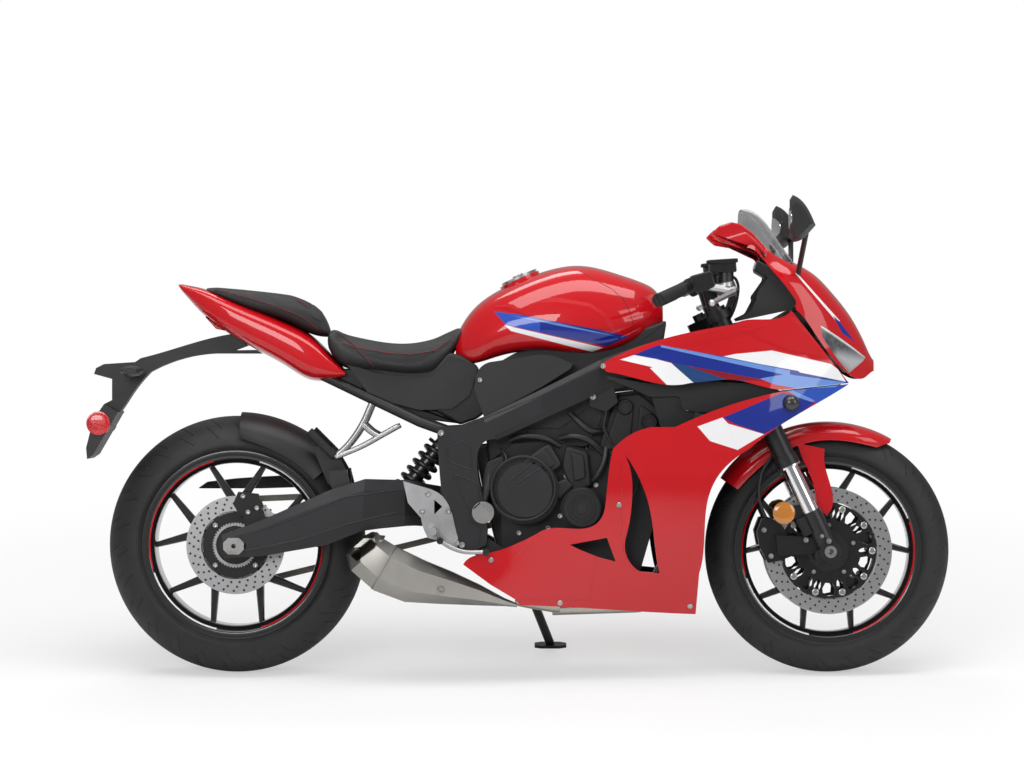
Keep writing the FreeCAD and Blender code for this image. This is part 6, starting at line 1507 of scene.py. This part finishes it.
def turnedPlate(corners, angle, axle, out, inner, bevel):
    # a plate drawn with (distance out, distance across), turned to an angle round the axle
    corners = np.asarray(corners, float)
    outward = np.array((math.cos(angle), math.sin(angle)))
    across = np.array((-outward[1], outward[0]))
    return plateLoops(corners[:, :1] * outward + corners[:, 1:] * across, out, inner, bevel) + axle


rimSizes = {"lip": 0.231, "bead": 0.219, "well": 0.206, "inner": 0.199, "edge": 0.005, "arm": 0.011,
            "fork": 0.122, "spread": 19.0, "depth": 0.024, "bevel": 0.0032, "thick": 0.008, "steps": 180,
            "hubSteps": 96, "start": 18.0, "arms": 5}
frontRimSizes = {**rimSizes, "half": 0.051, "hub": 0.034, "flange": 0.074, "right": 0.0618, "left": 0.0618,
                 "bore": 0.0115}
rearRimSizes = {**rimSizes, "half": 0.076, "hub": 0.044, "flange": 0.062, "right": 0.0838, "left": 0.0750,
                "bore": 0.0105}


def makeRim(name, node, axle, values, finish, body):
    # hoop and core are closed profiles of (radius, across); an arm is a plate of (distance out, across)
    keys = ("edge", "inner", "bead", "lip", "well", "half")
    edge, inner, bead, lip, well, half = (values[key] for key in keys)
    hoop = [(lip, half), (lip, half - edge), (bead, half - edge), (bead, half - 4 * edge),
            (well, half - 6 * edge), (well, 6 * edge - half), (bead, 4 * edge - half), (bead, edge - half),
            (lip, edge - half), (lip, -half), (bead - edge, -half), (inner, 3 * edge - half),
            (inner, half - 3 * edge), (bead - edge, half)]
    bore, flange, hub, right, left = (values[key] for key in ("bore", "flange", "hub", "right", "left"))
    thick = values["thick"]
    core = [(bore, left), (bore, -right), (flange, -right), (flange, thick - right), (hub, 3 * thick - right),
            (hub, left - 3 * thick), (flange, left - thick), (flange, left)]
    hoops = [turnedLoop(rounded(hoop, 0.2), axle, values["steps"]),
             turnedLoop(rounded(core, 0.12), axle, values["hubSteps"])]
    width, fork = values["arm"], values["fork"]
    reach, leg, spread = inner + edge, width * 0.55, math.radians(values["spread"])
    tipOut, tipAcross = reach * math.cos(spread), reach * math.sin(spread)
    upper = [(hub * 0.8, width * 1.5), (hub * 1.25, width * 1.3), (fork * 0.7, width * 0.95),
             (tipOut - leg * 0.4, tipAcross + leg), (tipOut + leg * 0.4, tipAcross - leg)]
    crotch = [(fork * 0.93, width * 0.16), (fork * 0.93, -width * 0.16)]
    arm = upper + crotch + [(out, -across) for out, across in upper[::-1]]
    depth = values["depth"] / 2
    angles = np.radians(values["start"] + 360.0 / values["arms"] * np.arange(values["arms"]))
    solids = [turnedPlate(arm, angle, axle, depth, -depth, values["bevel"]) for angle in angles]
    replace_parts(loopMesh(name, solids, finish, body, hoops=hoops), node)


makeRim("frontRim", "front_rim", frontAxle, frontRimSizes, frontRimPaint, "front_wheel")
makeRim("rearRim", "rear_rim", rearAxle, rearRimSizes, rearRimPaint, "rear_wheel")
print("rims made")

# Front discs: a drilled band, and a carrier of ten cells with windows, each cell drawn as half and its mirror
disc = {"outer": 0.155, "band": 0.036, "gauge": 0.0045, "place": 0.064, "cells": 10, "steps": 240,
        "cell": [(0.335, 0), (0.335, 6), (0.335, 12), (0.335, 18), (0.51, 18), (0.51, 12), (0.60, 8.5),
                 (0.70, 10.5), (0.715, 18), (0.752, 18), (0.752, 12), (0.752, 6), (0.752, 0), (0.69, 0),
                 (0.66, 3.5), (0.58, 5.5), (0.50, 3.5), (0.47, 0)]}  # share of the outer radius, degrees


def discCarrier(place):
    # each cell's outline of (radius, angle) turned to its place round the axle, once plain and once mirrored
    radius, degrees = np.array(disc["cell"], float).T
    radius = radius * disc["outer"]
    solids = []
    for cell in range(disc["cells"]):
        for mirror in (1, -1):
            turn = np.radians(cell * 360 / disc["cells"] + mirror * degrees)
            loop = np.stack([radius * np.cos(turn), radius * np.sin(turn)], -1)
            front, back = place + disc["gauge"] / 2, place - disc["gauge"] / 2
            solids.append(plateLoops(loop, front, back, 0) + frontAxle)
    return solids


discBands, carrierCells = [], []
for place in (disc["place"], -disc["place"]):
    rim, inner, thick = disc["outer"], disc["outer"] - disc["band"], disc["gauge"] / 2
    band = [(rim, place - thick), (rim, place + thick), (inner, place + thick), (inner, place - thick)]
    discBands.append(turnedLoop(rounded(band, 0.03), frontAxle, disc["steps"]))
    carrierCells += discCarrier(-place)
frontDiscs = loopMesh("frontDiscs", carrierCells, frontDiscSteel, "front_wheel",
                      hoops=discBands)
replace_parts(frontDiscs, "front_discs")
print("front discs made")

# Passenger footrest stays: cast struts with a folded peg
stayLines = [[(371, 404, 0.106), (362, 424, 0.112), (350, 442, 0.114), (335, 457, 0.114)],
             [(398, 426, 0.112), (380, 436, 0.114), (360, 447, 0.114), (336, 457, 0.114)],
             [(362, 424, 0.112), (371, 432, 0.113), (380, 437, 0.114)]]
stays = tubes("passengerStays", mirroredPaths(stayLines, 24), 0.0068, castAlloy, "chassis", 14)
pegLine = [(309, 431, 0.118), (322, 444, 0.118), (334, 456, 0.116)]
tubes("foldedPegs", mirroredPaths([pegLine], 20), 0.0105, gripRubber, "chassis", 16)
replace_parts(stays, "passenger_footrests")
print("stays made")

# Lips of the nose beside the windscreen, reaching back over the bars
lip = {"over": 0.002, "thick": 0.014, "bevel": 0.004,
       "line": [(711, 234), (719, 226), (731, 222), (741, 224), (753, 233), (768, 250), (766, 260),
                (757, 252), (747, 246.5), (735, 244.5), (720, 242)]}
lipPlace, _ = under(nodeSurface("nose_cowl"), 752, 244, 1)
lipOut = abs(lipPlace[1]) + lip["over"]
plates("noseLips", [(lip["line"], lipOut, lipOut - lip["thick"], lip["bevel"])], plainPaint, "chassis",
       bothSides, 0.12)
housings = [([(709, 263), (736, 261), (737, 272), (710, 273)], 0.165, 0.125, 0.003),
            ([(707, 260), (738, 258), (738, 262.5), (707, 264)], 0.168, 0.122, 0.002),
            ([(690, 276), (712, 270), (716, 286), (700, 294), (690, 288)], 0.195, 0.160, 0.004)]
plates("barHousings", housings, forkBlack, "steering", bothSides, 0.14)
print("nose lips made")

# Silencer: eight-sided rings from a recessed mouth to the pipe, each between a top and a bottom picture spot
silencer = {"middle": 0.141, "recess": 0.03, "rim": 0.13, "lip": 0.02, "seam": 0.0012, "sharp": 28,
            "down": (0, 0, 0.22, 0.72, 1, 1, 0.72, 0.22),
            "out": (-0.45, 0.45, 1, 0.92, 0.35, -0.35, -0.92, -1),
            "rings": [((369, 532), (342, 556), 0.052, 0.030), ((379, 537.5), (348, 570), 0.060, 0.012),
                      ((398, 548), (374, 590), 0.064, 0.0), ((425, 561), (405, 601.5), 0.064, 0.0),
                      ((452, 572), (440, 603.5), 0.060, 0.0), ((480, 585), (478, 605), 0.050, 0.0),
                      ((504, 598), (506, 606), 0.036, 0.0), ((516, 603), (517, 607), 0.026, 0.0)]}


def silencerRing(top, bottom, half, shear, shrink=0.0, push=0.0):
    # corners share the line from top to bottom; those nearer the viewer stand further forward by the shear
    downShares = np.array(silencer["down"]) * (1 - 2 * shrink) + shrink
    outShares = np.array(silencer["out"]) * (1 - 1.6 * shrink)
    high, low = spot(*top, silencer["middle"]), spot(*bottom, silencer["middle"])
    corners = high + (low - high) * downShares[:, None]
    corners[:, 1] = -silencer["middle"] - half * outShares
    corners[:, 0] += shear * (outShares + 1) * 0.5 + push
    return corners


mouth, rim, recess = silencer["rings"][0], silencer["rim"], silencer["recess"]
silencerRings = [silencerRing(*mouth, rim * 1.1, recess), silencerRing(*mouth, rim, 0.001),
                 silencerRing(*mouth, silencer["lip"], -0.003)]
silencerRings += [silencerRing(*ring) for ring in silencer["rings"]]
shell = loopMesh("silencerShell", [np.array(silencerRings)], silencerMetal, "chassis",
                 silencer["sharp"])
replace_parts(shell, "silencer")
seamLine = silencerRing((396, 547), (372, 588.5), 0.0652, 0.0)[:6]
tubes("silencerSeam", [seamLine], silencer["seam"], silencerMetal, "chassis", 6)
# a black cup inside the recessed mouth, as painted shade deep in the pipe
shadeCupRings = [silencerRing(*mouth, rim * 1.15, recess * share) for share in (0.9, 0.7)]
loopMesh("silencerShadeCup", [np.array(shadeCupRings)], blackPlastic, "chassis", silencer["sharp"])
print("silencer made")

# Studio

studio = {"fill": 0.27, "shine": 0.05, "floorGlow": 0.5, "whiteFrom": (0.9, 2.4), "half": 30.0,
          "target": (0, 0, 0.5),
          "lamps": [("topLamp", (0.2, -0.8, 3.6), (4.5, 1.6), 100.0),
                    ("frontLamp", (-1.8, -4.5, 2.6), (2.6, 1.4), 75.0),
                    ("noseLamp", (3.8, -2.8, 2.4), (2.4, 2.4), 50.0),
                    ("backLamp", (-1.0, 2.6, 4.4), (3.0, 1.2), 55.0)]}


def lightWorld():
    # white to the camera and through glass, dim in reflections, a soft fill on the object
    world = bpy.data.worlds.new("studio")
    bpy.context.scene.world = world
    world.use_nodes = True
    made = NodeTree(world.node_tree)
    rays = made.node("ShaderNodeLightPath").outputs
    seen = made.math("MAXIMUM", rays["Is Camera Ray"], rays["Is Transmission Ray"])
    shine = made.math("MULTIPLY", rays["Is Glossy Ray"], studio["shine"])
    background = made.tree.nodes["Background"]
    background.inputs["Color"].default_value = (1, 1, 1, 1)
    level = made.shift(made.math("MAXIMUM", seen, shine), studio["fill"], 1.0)
    made.join(level, background.inputs["Strength"])


def layFloor():
    # a pale floor that holds the shadow and turns white to the camera away from the object
    half = studio["half"]
    floor = bpy.data.meshes.new("floor")
    corners = [(-half, -half, 0), (half, -half, 0), (half, half, 0), (-half, half, 0)]
    floor.from_pydata(corners, [], [(0, 1, 2, 3)])
    ground = Finish("floorWhite", (0.9, 0.9, 0.9), 0.9)
    glow = ground.node("ShaderNodeEmission")
    glow.inputs["Strength"].default_value = 1.0
    far = ground.ramp(ground.vector("LENGTH", ground.coordinates("Object")), *studio["whiteFrom"])
    share = ground.math("MULTIPLY_ADD", far, 1 - studio["floorGlow"], studio["floorGlow"])
    seen = ground.node("ShaderNodeLightPath").outputs["Is Camera Ray"]
    mixer = ground.node("ShaderNodeMixShader")
    ground.fill(mixer.inputs, (ground.math("MULTIPLY", seen, share), ground.shader.outputs[0],
                               glow.outputs[0]))
    ground.join(mixer.outputs[0], ground.tree.nodes["Material Output"].inputs["Surface"])
    floor.materials.append(ground.material)
    plane = bpy.data.objects.new("floor", floor)
    bpy.context.scene.collection.objects.link(plane)


def hangLamps():
    # rectangles of light that face the object's middle
    for name, place, size, power in studio["lamps"]:
        lamp = bpy.data.lights.new(name, "AREA")
        lamp.shape = "RECTANGLE"
        lamp.size, lamp.size_y = size
        lamp.energy = power
        holder = bpy.data.objects.new(name, lamp)
        holder.location = place
        holder.rotation_euler = (Vector(studio["target"]) - Vector(place)).to_track_quat("-Z", "Y").to_euler()
        bpy.context.scene.collection.objects.link(holder)


lightWorld()
layFloor()
hangLamps()

lens = {"sensor": 36.0, "farthest": 60.0}
camera = bpy.data.objects.new("camera", bpy.data.cameras.new("camera"))
pictureWidth = machine["picture"][0] * machine["metresPerPixel"]
camera.data.lens = lens["sensor"] / pictureWidth * machine["eyeDistance"]
camera.data.sensor_width = lens["sensor"]
camera.data.clip_end = lens["farthest"]
eye = leaned((machine["eye"][0], -machine["eyeDistance"], machine["eye"][1]))
camera.matrix_world = (Matrix.Translation(Vector(eye))
                       @ Matrix.Rotation(math.radians(90 - machine["leanDegrees"]), 4, "X"))
bpy.context.scene.collection.objects.link(camera)
bpy.context.scene.camera = camera
bpy.context.scene.view_settings.view_transform = "Standard"
print("studio made")
